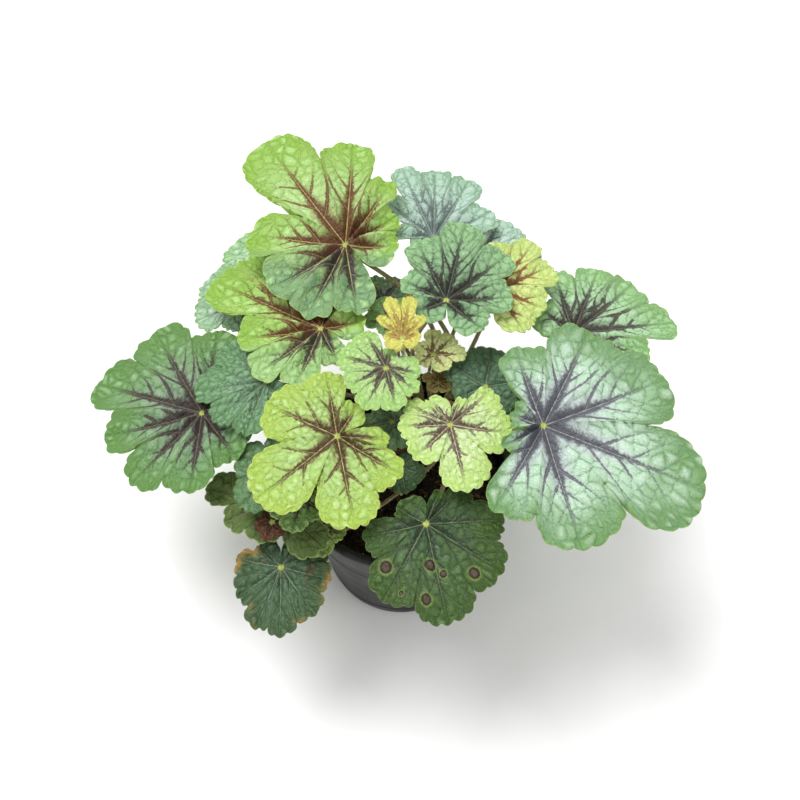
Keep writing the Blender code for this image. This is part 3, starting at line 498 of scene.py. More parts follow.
def grow_veins(spec, chance):
    """Main veins from hub to tips, and laterals that leave them alternately and fork to the teeth.

    Returns two lists of lines of points, the laterals as (line, width at start, width at end)."""
    mains, laterals = [], []
    lobes = len(spec["tips"])
    for k in range(lobes):
        tip = at_place(spec, np.array([k + 0.5]), spec["points"])[0]
        mains.append(curve_between(np.zeros(2), tip / 2, tip))
        reach = np.linalg.norm(tip)
        count = max(1, min(LATERALS_MOST, round(reach / LATERAL_EVERY)))
        for side in (-1, 1):
            for j in range(count):
                leave = LATERAL_FROM + LATERAL_SPAN * (j + (0.5 if side > 0 else 0.05)) / count
                spread = LATERAL_SPREAD * (1 - leave) ** 0.7 * chance.uniform(0.88, 1.04)
                start = tip * leave
                end = at_place(spec, np.array([k + 0.5 + side * spread]), spec["points"])[0] * 0.985
                way = end - start
                along = tip / reach
                across = np.array((-along[1], along[0])) * side
                bend = start + (along * 0.74 + across * 0.67) * np.linalg.norm(way) * 0.46
                line = curve_between(start, bend, end)
                width = 1.0 - 0.5 * leave
                laterals.append((line, width, 0.25))
                for part, turn in ((0.42, side), (0.68, -side)):
                    if np.linalg.norm(way) < FORK_LEAST:
                        continue
                    fork = line[int(part * (len(line) - 1))]
                    place = k + 0.5 + side * spread + turn * FORK_TURN
                    goal = at_place(spec, np.array([place]), spec["points"])[0] * 0.98
                    laterals.append((curve_between(fork, fork + (line[-1] - fork) * 0.5, goal),
                                     0.55, 0.15))
    return mains, laterals


def vein_tree(lines):
    """A search tree over points of all the lines, with each point's way and width."""
    where, ways, widths = [], [], []
    for line, start, end in lines:
        where.append(line)
        way = np.gradient(line, axis=0)
        ways.append(way / np.linalg.norm(way, axis=1)[:, None])
        widths.append(np.linspace(start, end, len(line)))
    where, ways, widths = np.vstack(where), np.vstack(ways), np.concatenate(widths)
    tree = kdtree.KDTree(len(where))
    for index, (x, y) in enumerate(where):
        tree.insert((x, y, 0), index)
    tree.balance()
    return tree, where, ways, widths


def near_vein(found, flat):
    """How far each point is to the side of its nearest vein, how far in all, and that vein's width."""
    tree, where, ways, widths = found
    hits = [tree.find((x, y, 0)) for x, y in flat]
    index = np.array([hit[1] for hit in hits])
    off = flat - where[index]
    side = ways[index, 0] * off[:, 1] - ways[index, 1] * off[:, 0]
    return side, np.array([hit[2] for hit in hits]), widths[index]


def cells(spec, flat, chance):
    """A patchwork of small cells: how far each point is from a border, and its cell's own value."""
    size = spec["cell"]
    low = flat.min(0) - 3 * size
    count = ((flat.max(0) - low) / size).astype(int) + 5
    jitter = chance.uniform(0.1, 0.9, (*count, 2))
    value = chance.uniform(0, 1, count)
    warp = 0.35 * size * np.sin(flat[:, ::-1] / size * 1.3)
    scaled = (flat + warp - low) / size
    home = scaled.astype(int)
    seeds, values = [], []
    for i in (-1, 0, 1):
        for j in (-1, 0, 1):
            a, b = home[:, 0] + i, home[:, 1] + j
            seeds.append(np.stack([a, b], 1) + jitter[a, b])
            values.append(value[a, b])
    seeds, values = np.stack(seeds, 1), np.stack(values, 1)
    apart = np.linalg.norm(seeds - scaled[:, None], axis=2)
    order = np.argsort(apart, axis=1)
    rows = np.arange(len(flat))
    one, two = seeds[rows, order[:, 0]], seeds[rows, order[:, 1]]
    border = ((apart[rows, order[:, 1]] ** 2 - apart[rows, order[:, 0]] ** 2)
              / (2 * np.linalg.norm(two - one, axis=1)))
    return border * size, values[rows, order[:, 0]]


def smooth(value, low, high):
    """Rises from 0 at low to 1 at high, with no corner."""
    t = np.clip((value - low) / (high - low), 0, 1)
    return t * t * (3 - 2 * t)


def sheet_rings(spec):
    """The blade's points ring by ring, from margin to hub: plan offsets, places and shares."""
    reach = np.linalg.norm(spec["points"], axis=1)
    rings = max(round(spec["size"] * RINGS_SHARE / GRAIN), RINGS_LEAST)
    depth = min(BITE * tooth_width(spec), BITE_MOST * spec["size"])
    table = np.column_stack([spec["points"], spec["inward"]])
    found = []
    for k in range(rings + 1):
        g = 1 - k / rings
        places = []
        for half, side in enumerate(spec["sides"]):
            narrow = g + (1 - g) * HUB_R / reach.mean()
            count = max(round(side / GRAIN * narrow), 1)
            places.append((half + np.arange(count) / count) / 2)
        place = np.concatenate(places)
        read = at_place(spec, place, table)
        full = np.linalg.norm(read[:, :2], axis=1)
        out = HUB_R + (full - HUB_R) * g
        share = out / full
        phase = np.interp(place, spec["places"], spec["phase"])
        bite = np.where(phase < NO_TOOTH / 2, 1 - np.abs(np.sin(phase * math.pi / 2)) ** NOTCH_SHARP, 0)
        bite *= min(max(BITE_KEPT / spec["size"], BITE_LEAST), 1.0) * depth * share ** BITE_FADES
        xy = read[:, :2] * share[:, None] + read[:, 2:] * bite[:, None]
        found.append((xy, place, np.where(g == 1, 1.0, share)))
    return found


def zip_rings(outer, outer_place, inner, inner_place, span):
    """Triangles between two rings given as index lists, matched by their places."""
    faces, i, j = [], 0, 0
    while i < len(outer) or j < len(inner):
        next_i = outer_place[i + 1] if i + 1 < len(outer) else span
        next_j = inner_place[j + 1] if j + 1 < len(inner) else span
        a, b = outer[i % len(outer)], inner[j % len(inner)]
        if j >= len(inner) or (i < len(outer) and next_i <= next_j):
            faces.append((a, outer[(i + 1) % len(outer)], b))
            i += 1
        else:
            faces.append((a, inner[(j + 1) % len(inner)], b))
            j += 1
    return faces


def mesh_from(name, verts, faces, numbers=(), vectors=()):
    """A smooth object from points in millimetres, with named numbers kept at its points."""
    mesh = bpy.data.meshes.new(name)
    mesh.vertices.add(len(verts))
    mesh.vertices.foreach_set("co", (np.asarray(verts) * MM).astype(np.float32).ravel())
    mesh.loops.add(3 * len(faces))
    mesh.loops.foreach_set("vertex_index", np.asarray(faces, np.int32).ravel())
    mesh.polygons.add(len(faces))
    mesh.polygons.foreach_set("loop_start", np.arange(0, 3 * len(faces), 3, dtype=np.int32))
    mesh.update(calc_edges=True)
    mesh.shade_smooth()
    for label, values in dict(numbers).items():
        mesh.attributes.new(label, "FLOAT", "POINT").data.foreach_set("value", values.astype(np.float32))
    for label, values in dict(vectors).items():
        made = mesh.attributes.new(label, "FLOAT_VECTOR", "POINT")
        made.data.foreach_set("vector", values.astype(np.float32).ravel())
    made = bpy.data.objects.new(name, mesh)
    bpy.context.scene.collection.objects.link(made)
    return made


def stalk_r(spec):
    """The stalk's radius as in its solid."""
    return min(STALK_R_LEAST + STALK_R_SHARE * spec["size"], STALK_R_MOST)


def sweep_stalk(spec, verts, faces, last, angles):
    """Runs the stalk from the hub's ring down its line into its hole, and closes its foot."""
    line = stalk_line(spec, STALK_RINGS)
    sides = len(last)
    before = line[0]
    side = verts[last[0]] - before
    count = len(line) - 1
    rings = []
    for k, point in enumerate(line[1:], 1):
        after = line[k + 1] if k < count else point + (point - before)
        way = (after - before) / np.linalg.norm(after - before)
        side = side - way * (side @ way)
        side = side / np.linalg.norm(side)
        across = np.cross(way, side)
        flare = FLARE * math.exp(-k / FLARE_RINGS)
        r = stalk_r(spec) * (STALK_NARROW + flare + FOOT_SWELL * k / count)
        even = TURN * np.arange(sides) / sides
        turn = angles + (even - angles) * min(k / EVEN_BY, 1)
        ring = point + side * (r * np.cos(turn))[:, None] - across * (r * np.sin(turn))[:, None]
        new = list(range(len(verts), len(verts) + sides))
        verts = np.vstack([verts, ring])
        for j in range(sides):
            a, b = last[j], last[(j + 1) % sides]
            c, d = new[j], new[(j + 1) % sides]
            faces += [(b, a, c), (b, c, d)]
        last, before = new, point
        rings.append((point, way, side, r))
    verts = np.vstack([verts, line[-1]])
    foot = len(verts) - 1
    faces += [(last[(j + 1) % sides], last[j], foot) for j in range(sides)]
    return verts, rings


def measure_blade(spec, flat, rim, chance):
    """How far each blade point is from veins, cell borders, margin, hub and spots."""
    mains, laterals = grow_veins(spec, chance)
    _, main, _ = near_vein(vein_tree([(line, 1.0, 0.3) for line in mains]), flat)
    side, off, width = near_vein(vein_tree(laterals), flat)
    border, cell = cells(spec, flat, chance)
    tree, _, _, _ = vein_tree([(rim, 1, 1)])
    edge = np.array([tree.find((x, y, 0))[2] for x, y in flat])
    spot = np.full(len(flat), 9.0)
    for x, y, r in spec["spots"]:
        spot = np.minimum(spot, np.hypot(flat[:, 0] - x, flat[:, 1] - y) / r)
    return dict(main=main, side=side, off=off, width=width, cell=cell, edge=edge, spot=spot,
                net=np.minimum(np.minimum(border, off), main), hub=np.linalg.norm(flat, axis=1))


def blade_skins(spec, flat, place, share, found):
    """Heights of the blade's upper and lower skins: the solid's form, with quilting, grooves over the
    veins, ridges under them, a funnel at the hub and a frilled margin."""
    main, off, width, hub = (found[label] for label in ("main", "off", "width", "hub"))
    plane = spec["height"] + flat @ spec["slope"] - (flat ** 2).sum(1) / (2 * DROOP_R)
    rise = waves(spec, place, share)
    soft = 0.5 + 0.5 * np.sin(flat[:, 0] / 9 + spec["height"]) * np.cos(flat[:, 1] / 8)
    inner = smooth(hub, *SMOOTH_BY_HUB)
    puff = smooth(found["net"], 0, CELL_SLOPE * spec["cell"]) * (0.7 + 0.6 * found["cell"])
    quilt = spec["pucker"] * inner * (puff - 0.5)
    groove = (-MAIN_GROOVE * np.exp(-(main / MAIN_GROOVE_W) ** 2) * inner
              - SIDE_GROOVE * width * np.exp(-(off / SIDE_GROOVE_W) ** 2) * inner)
    funnel = -FUNNEL * np.exp(-(hub / FUNNEL_R) ** 2)
    frill = FRILL * spec["size"] * share ** 6 * np.sin(TURN * place * FRILL_WAVES + 3 * soft)
    middle = plane + rise + quilt + funnel + frill + 0.5 * spec["pucker"] * (soft - 0.5)
    thin = BLADE_THICK * (EDGE_THIN + (1 - EDGE_THIN) * smooth(found["edge"], 0, EDGE_WIDE))
    ridge = MAIN_RIDGE * np.exp(-(main / MAIN_RIDGE_W) ** 2) * (1.15 - share) * inner
    fade = 1 - smooth(share, 0.9, 1)
    ridge += SIDE_RIDGE * width * np.exp(-(off / SIDE_RIDGE_W) ** 2) * fade * inner
    return middle + thin / 2 + groove, middle - thin / 2 - ridge + groove


def build_leaf(spec, chance):
    """The fine leaf in one closed skin, with what its material needs at each point. Returns the
    rings of its stalk."""
    rings = sheet_rings(spec)
    flat, place, share = (np.concatenate(parts) for parts in zip(*rings))
    starts = np.cumsum([0] + [len(places) for _, places, _ in rings])
    index = [list(range(a, b)) for a, b in zip(starts, starts[1:])]
    span = len(spec["tips"])
    upper = []
    for k in range(len(rings) - 1):
        upper += zip_rings(index[k], rings[k][1], index[k + 1], rings[k + 1][1], span)
    found = measure_blade(spec, flat, rings[0][0], chance)
    top, under = blade_skins(spec, flat, place, share, found)

    count = len(flat)
    ground = flat + spec["at"]
    verts = np.vstack([np.column_stack([ground, top]), np.column_stack([ground, under])])
    faces = list(upper) + [(a + count, c + count, b + count) for a, b, c in upper]
    rim = index[0]
    for k, a in enumerate(rim):
        b = rim[(k + 1) % len(rim)]
        faces += [(b, a, a + count), (b, a + count, b + count)]
    last = index[-1]
    verts = np.vstack([verts, (*spec["at"], top[last].mean())])
    peak = len(verts) - 1
    faces += [(a, last[(k + 1) % len(last)], peak) for k, a in enumerate(last)]
    turned = np.unwrap(np.arctan2(flat[last, 1], flat[last, 0]))
    verts, stalk = sweep_stalk(spec, verts, faces, [a + count for a in last], turned - turned[0])

    rest = len(verts) - 2 * count
    found["share"] = share
    numbers = {}
    for label, fill in (("main", 0), ("side", 9), ("off", 9), ("width", 0), ("net", 9), ("cell", 0.5),
                        ("edge", 30), ("share", 0), ("spot", 9), ("hub", 0)):
        numbers[label] = np.concatenate([found[label], found[label], np.full(rest, fill, float)])
    numbers["under"] = np.concatenate([np.zeros(count), np.ones(count), np.zeros(rest)])
    numbers["stalk"] = np.concatenate([np.zeros(2 * count + 1), np.ones(rest - 1)])
    place3 = np.column_stack([flat, np.zeros(count)])
    tail = verts[2 * count:] - (*spec["at"], spec["height"])
    made = mesh_from(spec["name"] + "_fine", verts, faces, numbers,
                     {"flat": np.vstack([place3, place3, tail])})
    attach(made, "root")
    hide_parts(spec["name"])
    made.data.materials.append(leaf_material(spec))
    return stalk


class Shading:
    """Short names for the nodes of one material."""

    def __init__(self, name):
        self.material = bpy.data.materials.new(name)
        self.material.use_nodes = True
        self.nodes = self.material.node_tree.nodes
        self.links = self.material.node_tree.links
        self.surface = self.nodes["Principled BSDF"]

    def put(self, socket, value):
        if isinstance(value, bpy.types.NodeSocket):
            self.links.new(value, socket)
        elif isinstance(value, tuple) and len(value) == 3 and socket.type == "RGBA":
            socket.default_value = (*value, 1)
        else:
            socket.default_value = value

    def math(self, operation, a, b=0.0, clamp=False):
        node = self.nodes.new("ShaderNodeMath")
        node.operation = operation
        node.use_clamp = clamp
        self.put(node.inputs[0], a)
        self.put(node.inputs[1], b)
        return node.outputs[0]

    def plus(self, a, b):
        return self.math("ADD", a, b)

    def minus(self, a, b):
        return self.math("SUBTRACT", a, b)

    def times(self, a, b, clamp=False):
        return self.math("MULTIPLY", a, b, clamp)

    def over(self, a, b):
        return self.math("DIVIDE", a, b)

    def least(self, a, b):
        return self.math("MINIMUM", a, b)

    def most(self, a, b):
        return self.math("MAXIMUM", a, b)

    def number(self, label):
        node = self.nodes.new("ShaderNodeAttribute")
        node.attribute_name = label
        return node.outputs["Fac"]

    def vector(self, label):
        node = self.nodes.new("ShaderNodeAttribute")
        node.attribute_name = label
        return node.outputs["Vector"]

    def place(self):
        return self.nodes.new("ShaderNodeTexCoord").outputs["Object"]

    def noise(self, vector, scale, detail=3.0, rough=0.55):
        node = self.nodes.new("ShaderNodeTexNoise")
        self.put(node.inputs["Vector"], vector)
        self.put(node.inputs["Scale"], scale)
        self.put(node.inputs["Detail"], detail)
        self.put(node.inputs["Roughness"], rough)
        return node.outputs["Fac"]

    def cells(self, vector, scale, feature="DISTANCE_TO_EDGE"):
        node = self.nodes.new("ShaderNodeTexVoronoi")
        node.feature = feature
        self.put(node.inputs["Vector"], vector)
        self.put(node.inputs["Scale"], scale)
        return node.outputs["Distance"]

    def smooth(self, value, low, high, start=0.0, end=1.0):
        node = self.nodes.new("ShaderNodeMapRange")
        node.interpolation_type = "SMOOTHSTEP"
        for socket, number in zip(node.inputs, (value, low, high, start, end)):
            self.put(socket, number)
        return node.outputs[0]

    def mix(self, share, a, b, kind="MIX"):
        node = self.nodes.new("ShaderNodeMix")
        node.data_type = "RGBA"
        node.blend_type = kind
        self.put(node.inputs[0], share)
        self.put(node.inputs[6], a)
        self.put(node.inputs[7], b)
        return node.outputs[2]

    def bump(self, height, distance, strength=1.0, normal=None):
        node = self.nodes.new("ShaderNodeBump")
        self.put(node.inputs["Height"], height)
        self.put(node.inputs["Distance"], distance)
        self.put(node.inputs["Strength"], strength)
        if normal is not None:
            self.links.new(normal, node.inputs["Normal"])
        return node.outputs[0]

    def finish(self, colour, rough, normal=None, specular=0.5):
        self.put(self.surface.inputs["Base Color"], colour)
        self.put(self.surface.inputs["Roughness"], rough)
        self.put(self.surface.inputs["Specular IOR Level"], specular)
        if normal is not None:
            self.links.new(normal, self.surface.inputs["Normal"])
        return self.material


def read_leaf(s):
    """What the leaf's points carry, and the noises laid over it, by name."""
    flat = s.vector("flat")
    read = {label: s.number(label) for label in
            ("share", "main", "off", "side", "net", "cell", "edge", "width")}
    return SimpleNamespace(**read, flat=flat, mesh=s.cells(flat, 0.42), broad=s.noise(flat, 0.045, 3),
                           fine=s.noise(flat, 0.35, 4), grain=s.noise(flat, 1.6, 3))


def painted_shade_share(s, spec, read):
    """How far the painted shade, a darker tint on the side of the leaf toward a heading, has taken over.
    """
    _, heading, reach = spec["shade"]
    turn = math.radians(heading)
    way = s.nodes.new("ShaderNodeVectorMath")
    way.operation = "DOT_PRODUCT"
    s.put(way.inputs[0], read.flat)
    way.inputs[1].default_value = (math.cos(turn), math.sin(turn), 0)
    wavy = s.plus(way.outputs["Value"], s.times(s.minus(read.broad, 0.5), 24))
    return s.smooth(wavy, -0.02 * spec["size"], reach * spec["size"])


def from_veins(s, spec, read):
    """How far a point is from its vein in widths of the dark zone, with a ragged, threaded edge."""
    threads = s.smooth(s.least(read.net, s.times(read.mesh, 2.4)), 0.75, 0.0)
    ragged = s.times(s.minus(read.fine, 0.5), 2.6)
    lobed = s.times(s.minus(read.cell, 0.5), 1.4)
    wander = s.minus(s.plus(ragged, lobed), threads)
    wander = s.times(wander, s.smooth(read.share, 0.1, 0.9, 0.9, 0.45))
    reach = s.smooth(read.share, 0.0, 0.78, *spec["zone_w"])
    from_main = s.over(s.plus(read.main, wander), reach)
    side_reach = s.most(s.minus(read.width, 0.42), 0.01)
    side_reach = s.times(side_reach, s.smooth(read.share, 0.3, 0.9, 3.6, 2.2))
    side_reach = s.times(side_reach, spec["side_w"])
    from_side = s.over(s.plus(read.off, s.times(wander, 0.4)), side_reach)
    return s.least(from_main, from_side)


def vein_lines(s, spec, read):
    """Where the pale lines of the side and main veins run."""
    on = spec["line_on"]
    thin = s.times(s.smooth(s.math("ABSOLUTE", read.side), 0.3, 0.1), s.smooth(read.off, 1.4, 1.0))
    thin = s.times(thin, s.times(read.width, 0.5 * on))
    thick = s.times(s.smooth(read.main, spec["line_w"], 0.12),
                    s.smooth(read.share, 0.9, 0.35, 0.3 * on, on))
    return s.most(thin, thick)


def damaged(s, spec, read, colour):
    """Adds round spots with an olive ring, brown patches and a dry margin to a leaf that has them."""
    if spec["spots"]:
        spot = s.plus(s.number("spot"), s.times(s.minus(read.fine, 0.5), 0.35))
        colour = s.mix(s.smooth(spot, 1.6, 1.0, 0.0, 0.7), colour, srgb(118, 138, 62))
        colour = s.mix(s.smooth(spot, 1.05, 0.9), colour, srgb(40, 30, 22))
        colour = s.mix(s.smooth(spot, 0.8, 0.4), colour, srgb(86, 70, 54))
    if spec["blotch"]:
        patchy = s.noise(read.flat, 0.09, 5, 0.65)
        worn = s.times(s.smooth(patchy, 0.56, 0.68), spec["blotch"])
        colour = s.mix(worn, colour, srgb(104, 72, 44))
        dry = s.times(s.smooth(read.edge, 4.5, 0.5), s.smooth(read.broad, 0.48, 0.62))
        colour = s.mix(s.times(dry, spec["blotch"] * 1.4, True), colour, srgb(168, 132, 66))
    return colour


def leaf_material(spec):
    """A leaf's colours: patches, net, halos, dark zones, vein lines and rim, with its paler underside
    and its stalk."""
    s = Shading(spec["name"])
    read = read_leaf(s)
    outward = s.plus(read.share, s.times(s.minus(read.broad, 0.5), 0.7))
    colour = s.mix(s.smooth(outward, spec["outer_from"], 1.02), spec["body"], spec["outer"])
    zone = tuple(ZONE_DEEP * part for part in spec["zone"])
    # Painted shade: toward the heading the leaf turns to a darker, bluer tint and its dark zones to a
    # deeper purple grey
    if spec["shade"]:
        shaded = painted_shade_share(s, spec, read)
        colour = s.mix(shaded, colour, spec["shade"][0])
        zone = s.mix(shaded, zone, srgb(54, 46, 60))
    puffed = s.times(s.smooth(read.net, 0.2, CELL_SLOPE * spec["cell"]), spec["patch_on"])
    puffed = s.times(puffed, s.smooth(s.plus(s.times(read.cell, 0.6), read.broad), 0.45, 1.15))
    colour = s.mix(puffed, colour, spec["patch"])
    lattice = s.smooth(s.plus(read.net, s.times(read.fine, 0.35)), 0.85, 0.2)
    colour = s.mix(s.times(lattice, spec["net_on"]), colour, spec["net"])
    colour = s.mix(s.smooth(read.mesh, 0.07, 0.0, 0.0, 0.22), colour, spec["net"])

    from_vein = from_veins(s, spec, read)
    glow = s.times(s.smooth(from_vein, spec["halo_w"], 0.6),
                   s.smooth(read.share, 0.8, 0.35, 0.0, spec["halo_on"]))
    colour = s.mix(glow, colour, spec["halo"])
    dark = s.times(s.smooth(from_vein, 1.3, 0.3), s.smooth(read.share, 0.93, 0.55))
    colour = s.mix(s.times(dark, spec["zone_on"]), colour, zone)
    colour = s.mix(vein_lines(s, spec, read), colour, spec["line"])
    star = s.times(s.smooth(s.number("hub"), 2.4, 1.2), s.smooth(read.main, 1.0, 0.3))
    colour = s.mix(star, colour, srgb(176, 188, 90))
    rim = s.smooth(s.plus(read.edge, s.times(read.fine, 0.8)), 1.15, 0.4, 0.0, 0.75)
    colour = damaged(s, spec, read, s.mix(rim, colour, spec["rim"]))
    colour = s.mix(s.smooth(read.grain, 0.3, 0.7, 0.0, 0.12), colour, srgb(60, 80, 40), "MULTIPLY")

    below = s.mix(s.smooth(read.net, 0.9, 0.2, 0.0, 0.5), spec["outer"], srgb(190, 204, 150))
    below = s.mix(0.45, below, srgb(168, 176, 140))
    below = s.mix(s.smooth(s.least(read.main, read.off), 0.8, 0.3), below, srgb(196, 190, 140))
    colour = s.mix(s.number("under"), colour, below)
    streak = s.smooth(s.noise(s.place(), 900, 3), 0.35, 0.65)
    stem = s.mix(streak, spec["stalk"], tuple(0.55 * v for v in spec["stalk"]))
    colour = s.mix(s.number("stalk"), colour, stem)

    veined = s.plus(s.times(s.smooth(read.net, 0.0, 1.1), 0.7),
                    s.smooth(read.mesh, 0.0, 0.16, 0.0, 0.35))
    relief = s.bump(s.plus(veined, s.times(read.fine, 0.5)), 0.00055)
    skin = s.bump(read.grain, 0.00012, 0.8, relief)
    rough = spec["rough"]
    return s.finish(colour, s.smooth(s.plus(read.grain, puffed), 0.3, 1.2, rough + 0.08, rough - 0.06),
                    skin, 0.42)


def build_hairs(stalks, chance):
    """Short soft hairs that stand out of every stalk, each a thin closed spike."""
    verts, faces = [], []
    for rings in stalks:
        for (a, way, side, r), (b, _, _, _) in zip(rings[:-2], rings[1:-1]):
            gap = np.linalg.norm(b - a)
            for _ in range(int(gap * HAIRS_PER_MM)):
                turn = chance.uniform(0, TURN)
                across = np.cross(way, side)
                out = side * math.cos(turn) + across * math.sin(turn)
                base = a + (b - a) * chance.uniform() + out * r * 0.94
                lean = out + way * chance.uniform(-0.5, 0.5) + across * chance.uniform(-0.3, 0.3)
                tip = base + lean / np.linalg.norm(lean) * chance.uniform(HAIR_SHORT, HAIR_LONG)
                round_it = np.cross(out, way)
                first = len(verts)
                for k in range(3):
                    c, d = math.cos(TURN * k / 3) * HAIR_R, math.sin(TURN * k / 3) * HAIR_R
                    verts.append(base + way * c + round_it * d)
                verts.append(tip)
                faces += [(first, first + 2, first + 1), (first, first + 1, first + 3),
                          (first + 1, first + 2, first + 3), (first + 2, first, first + 3)]
    made = mesh_from("stalk_hairs", np.array(verts), faces)
    s = Shading("hairs")
    tone = s.mix(s.noise(s.place(), 700), srgb(226, 224, 196), srgb(190, 178, 140))
    made.data.materials.append(s.finish(tone, 0.6))
    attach(made, "root")


def finish_object(name, work, look):
    """An object from a bmesh in millimetres, smooth, riding with the part."""
    bmesh.ops.recalc_face_normals(work, faces=work.faces)
    bmesh.ops.triangulate(work, faces=work.faces)
    bmesh.ops.transform(work, matrix=Matrix.Scale(MM, 4), verts=work.verts)
    mesh = bpy.data.meshes.new(name)
    work.to_mesh(mesh)
    work.free()
    mesh.shade_smooth()
    mesh.materials.append(look)
    made = bpy.data.objects.new(name, mesh)
    bpy.context.scene.collection.objects.link(made)
    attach(made, "root")
    return made


def spun(profile, steps):
    """A profile of (radius, z) from axis to axis, spun about the pot's axis."""
    work = bmesh.new()
    line = [work.verts.new((r, 0, z)) for r, z in profile]
    edges = [work.edges.new(pair) for pair in zip(line, line[1:])]
    bmesh.ops.spin(work, geom=line + edges, cent=(0, 0, 0), axis=(0, 0, 1), angle=TURN,
                   steps=steps, use_merge=True)
    bmesh.ops.remove_doubles(work, verts=work.verts, dist=0.01)
    return work


def rounded(profile, radius, steps=4):
    """The profile with its corners rounded off."""
    points = [Vector(point) for point in profile]
    found = [points[0]]
    for before, here, after in zip(points, points[1:], points[2:]):
        back, on = before - here, after - here
        start = here + back.normalized() * min(radius, back.length * 0.45)
        end = here + on.normalized() * min(radius, on.length * 0.45)
        found += [bent(start, here, end, k / steps) for k in range(steps + 1)]
    return [tuple(point) for point in found + [points[-1]]]


def pot_material():
    """Matt black plastic: fine mould grain, faint scuffs, and dust and peat along the rim."""
    s = Shading("pot_plastic")
    place = s.place()
    cloud = s.noise(place, 35, 4)
    grain = s.noise(place, 2600, 2)
    colour = s.mix(cloud, srgb(11, 11, 12), srgb(21, 22, 23))
    height = s.nodes.new("ShaderNodeSeparateXYZ")
    s.put(height.inputs[0], place)
    up = height.outputs[2]
    specks = s.noise(place, 420, 5, 0.7)
    dusty = s.times(s.smooth(specks, 0.55, 0.7), s.smooth(up, 0.07, 0.109, 0.04, 0.3))
    colour = s.mix(dusty, colour, srgb(112, 104, 92))
    scuff = s.nodes.new("ShaderNodeMapping")
    s.put(scuff.inputs["Vector"], place)
    scuff.inputs["Scale"].default_value = (1, 1, 14)
    lines = s.noise(scuff.outputs[0], 60, 6, 0.75)
    colour = s.mix(s.smooth(lines, 0.62, 0.72, 0.0, 0.3), colour, srgb(42, 42, 42))
    rough = s.smooth(cloud, 0.3, 0.7, 0.38, 0.56)
    return s.finish(colour, rough, s.bump(grain, 0.00008, 0.7, s.bump(lines, 0.0001)), 0.5)


def build_pot():
    """The pot with its rolled rim, shallow rings round the wall, a stepped foot and drain holes."""
    top, foot, wall = POT_HEIGHT, POT_FOOT_R, POT_WALL
    shoulder_z = top - RIM_DROP
    shoulder_r = POT_RIM_R - RIM_LIP
    inner_r = shoulder_r - wall

    def outer(z):
        return foot + (shoulder_r - 0.6 - foot) * (z - 2) / (shoulder_z - 3.5)

    profile = [(0, 0.9), (DRAIN_RING_R - 8, 0.9), (DRAIN_RING_R - 7, 0), (foot - 2, 0), (foot, 2)]
    for z in WALL_RINGS:
        profile += [(outer(z), z), (outer(z) + RING_OUT, z + 0.5), (outer(z + 2) + RING_OUT, z + 1.6),
                    (outer(z + 2.2), z + 2.2)]
    profile += [(shoulder_r - 0.6, shoulder_z - 1.5), (POT_RIM_R - 1.8, shoulder_z),
                (POT_RIM_R - 1.2, shoulder_z + 0.8), (POT_RIM_R - 0.7, shoulder_z + 6),
                (POT_RIM_R, top - 1.8), (POT_RIM_R - 0.6, top - 0.5), (POT_RIM_R - 1.8, top),
                (inner_r + 1.4, top), (inner_r + 0.3, top - 1.0), (inner_r, shoulder_z),
                (foot - wall, FLOOR_THICK + 1.5), (foot - wall - 1.5, FLOOR_THICK),
                (0, FLOOR_THICK)]
    made = finish_object("pot_fine", spun(rounded(profile, 0.7, 3), POT_STEPS), pot_material())
    holes = bmesh.new()
    for k in range(DRAIN_HOLES):
        a = TURN * k / DRAIN_HOLES
        move = Matrix.Translation((DRAIN_RING_R * math.cos(a), DRAIN_RING_R * math.sin(a), 1))
        bmesh.ops.create_cone(holes, cap_ends=True, segments=32, radius1=DRAIN_R, radius2=DRAIN_R,
                              depth=8, matrix=move)
    bmesh.ops.transform(holes, matrix=Matrix.Scale(MM, 4), verts=holes.verts)
    tool_mesh = bpy.data.meshes.new("drain_cutter")
    holes.to_mesh(tool_mesh)
    holes.free()
    tool = bpy.data.objects.new("drain_cutter", tool_mesh)
    bpy.context.scene.collection.objects.link(tool)
    change = made.modifiers.new("Drain", "BOOLEAN")
    change.operation = "DIFFERENCE"
    change.solver = "EXACT"
    change.object = tool
    graph = bpy.context.evaluated_depsgraph_get()
    mesh = bpy.data.meshes.new_from_object(made.evaluated_get(graph))
    made.modifiers.clear()
    made.data = mesh
    bpy.data.objects.remove(tool)
    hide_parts("pot")


def soil_material():
    """Moist potting mix: dark peat, darkened further as painted shade from the leaves, with paler fibres
    and grit.
    """
    s = Shading("potting_mix")
    place = s.place()
    lumps = s.noise(place, 260, 6, 0.7)
    grit = s.cells(place, 620)
    # Dark peat browns, made darker still as painted shade of the leaves above
    colour = s.mix(s.smooth(lumps, 0.35, 0.65), srgb(22, 17, 14), srgb(58, 46, 36))
    colour = s.mix(s.smooth(grit, 0.12, 0.02, 0.0, 0.7), colour, srgb(18, 13, 10))
    fibres = s.noise(place, 900, 5, 0.75)
    colour = s.mix(s.smooth(fibres, 0.62, 0.72, 0.0, 0.8), colour, srgb(134, 104, 72))
    normal = s.bump(grit, 0.0008, 1.0, s.bump(lumps, 0.0022))
    return s.finish(colour, s.smooth(lumps, 0.3, 0.7, 0.8, 0.97), normal, 0.25)


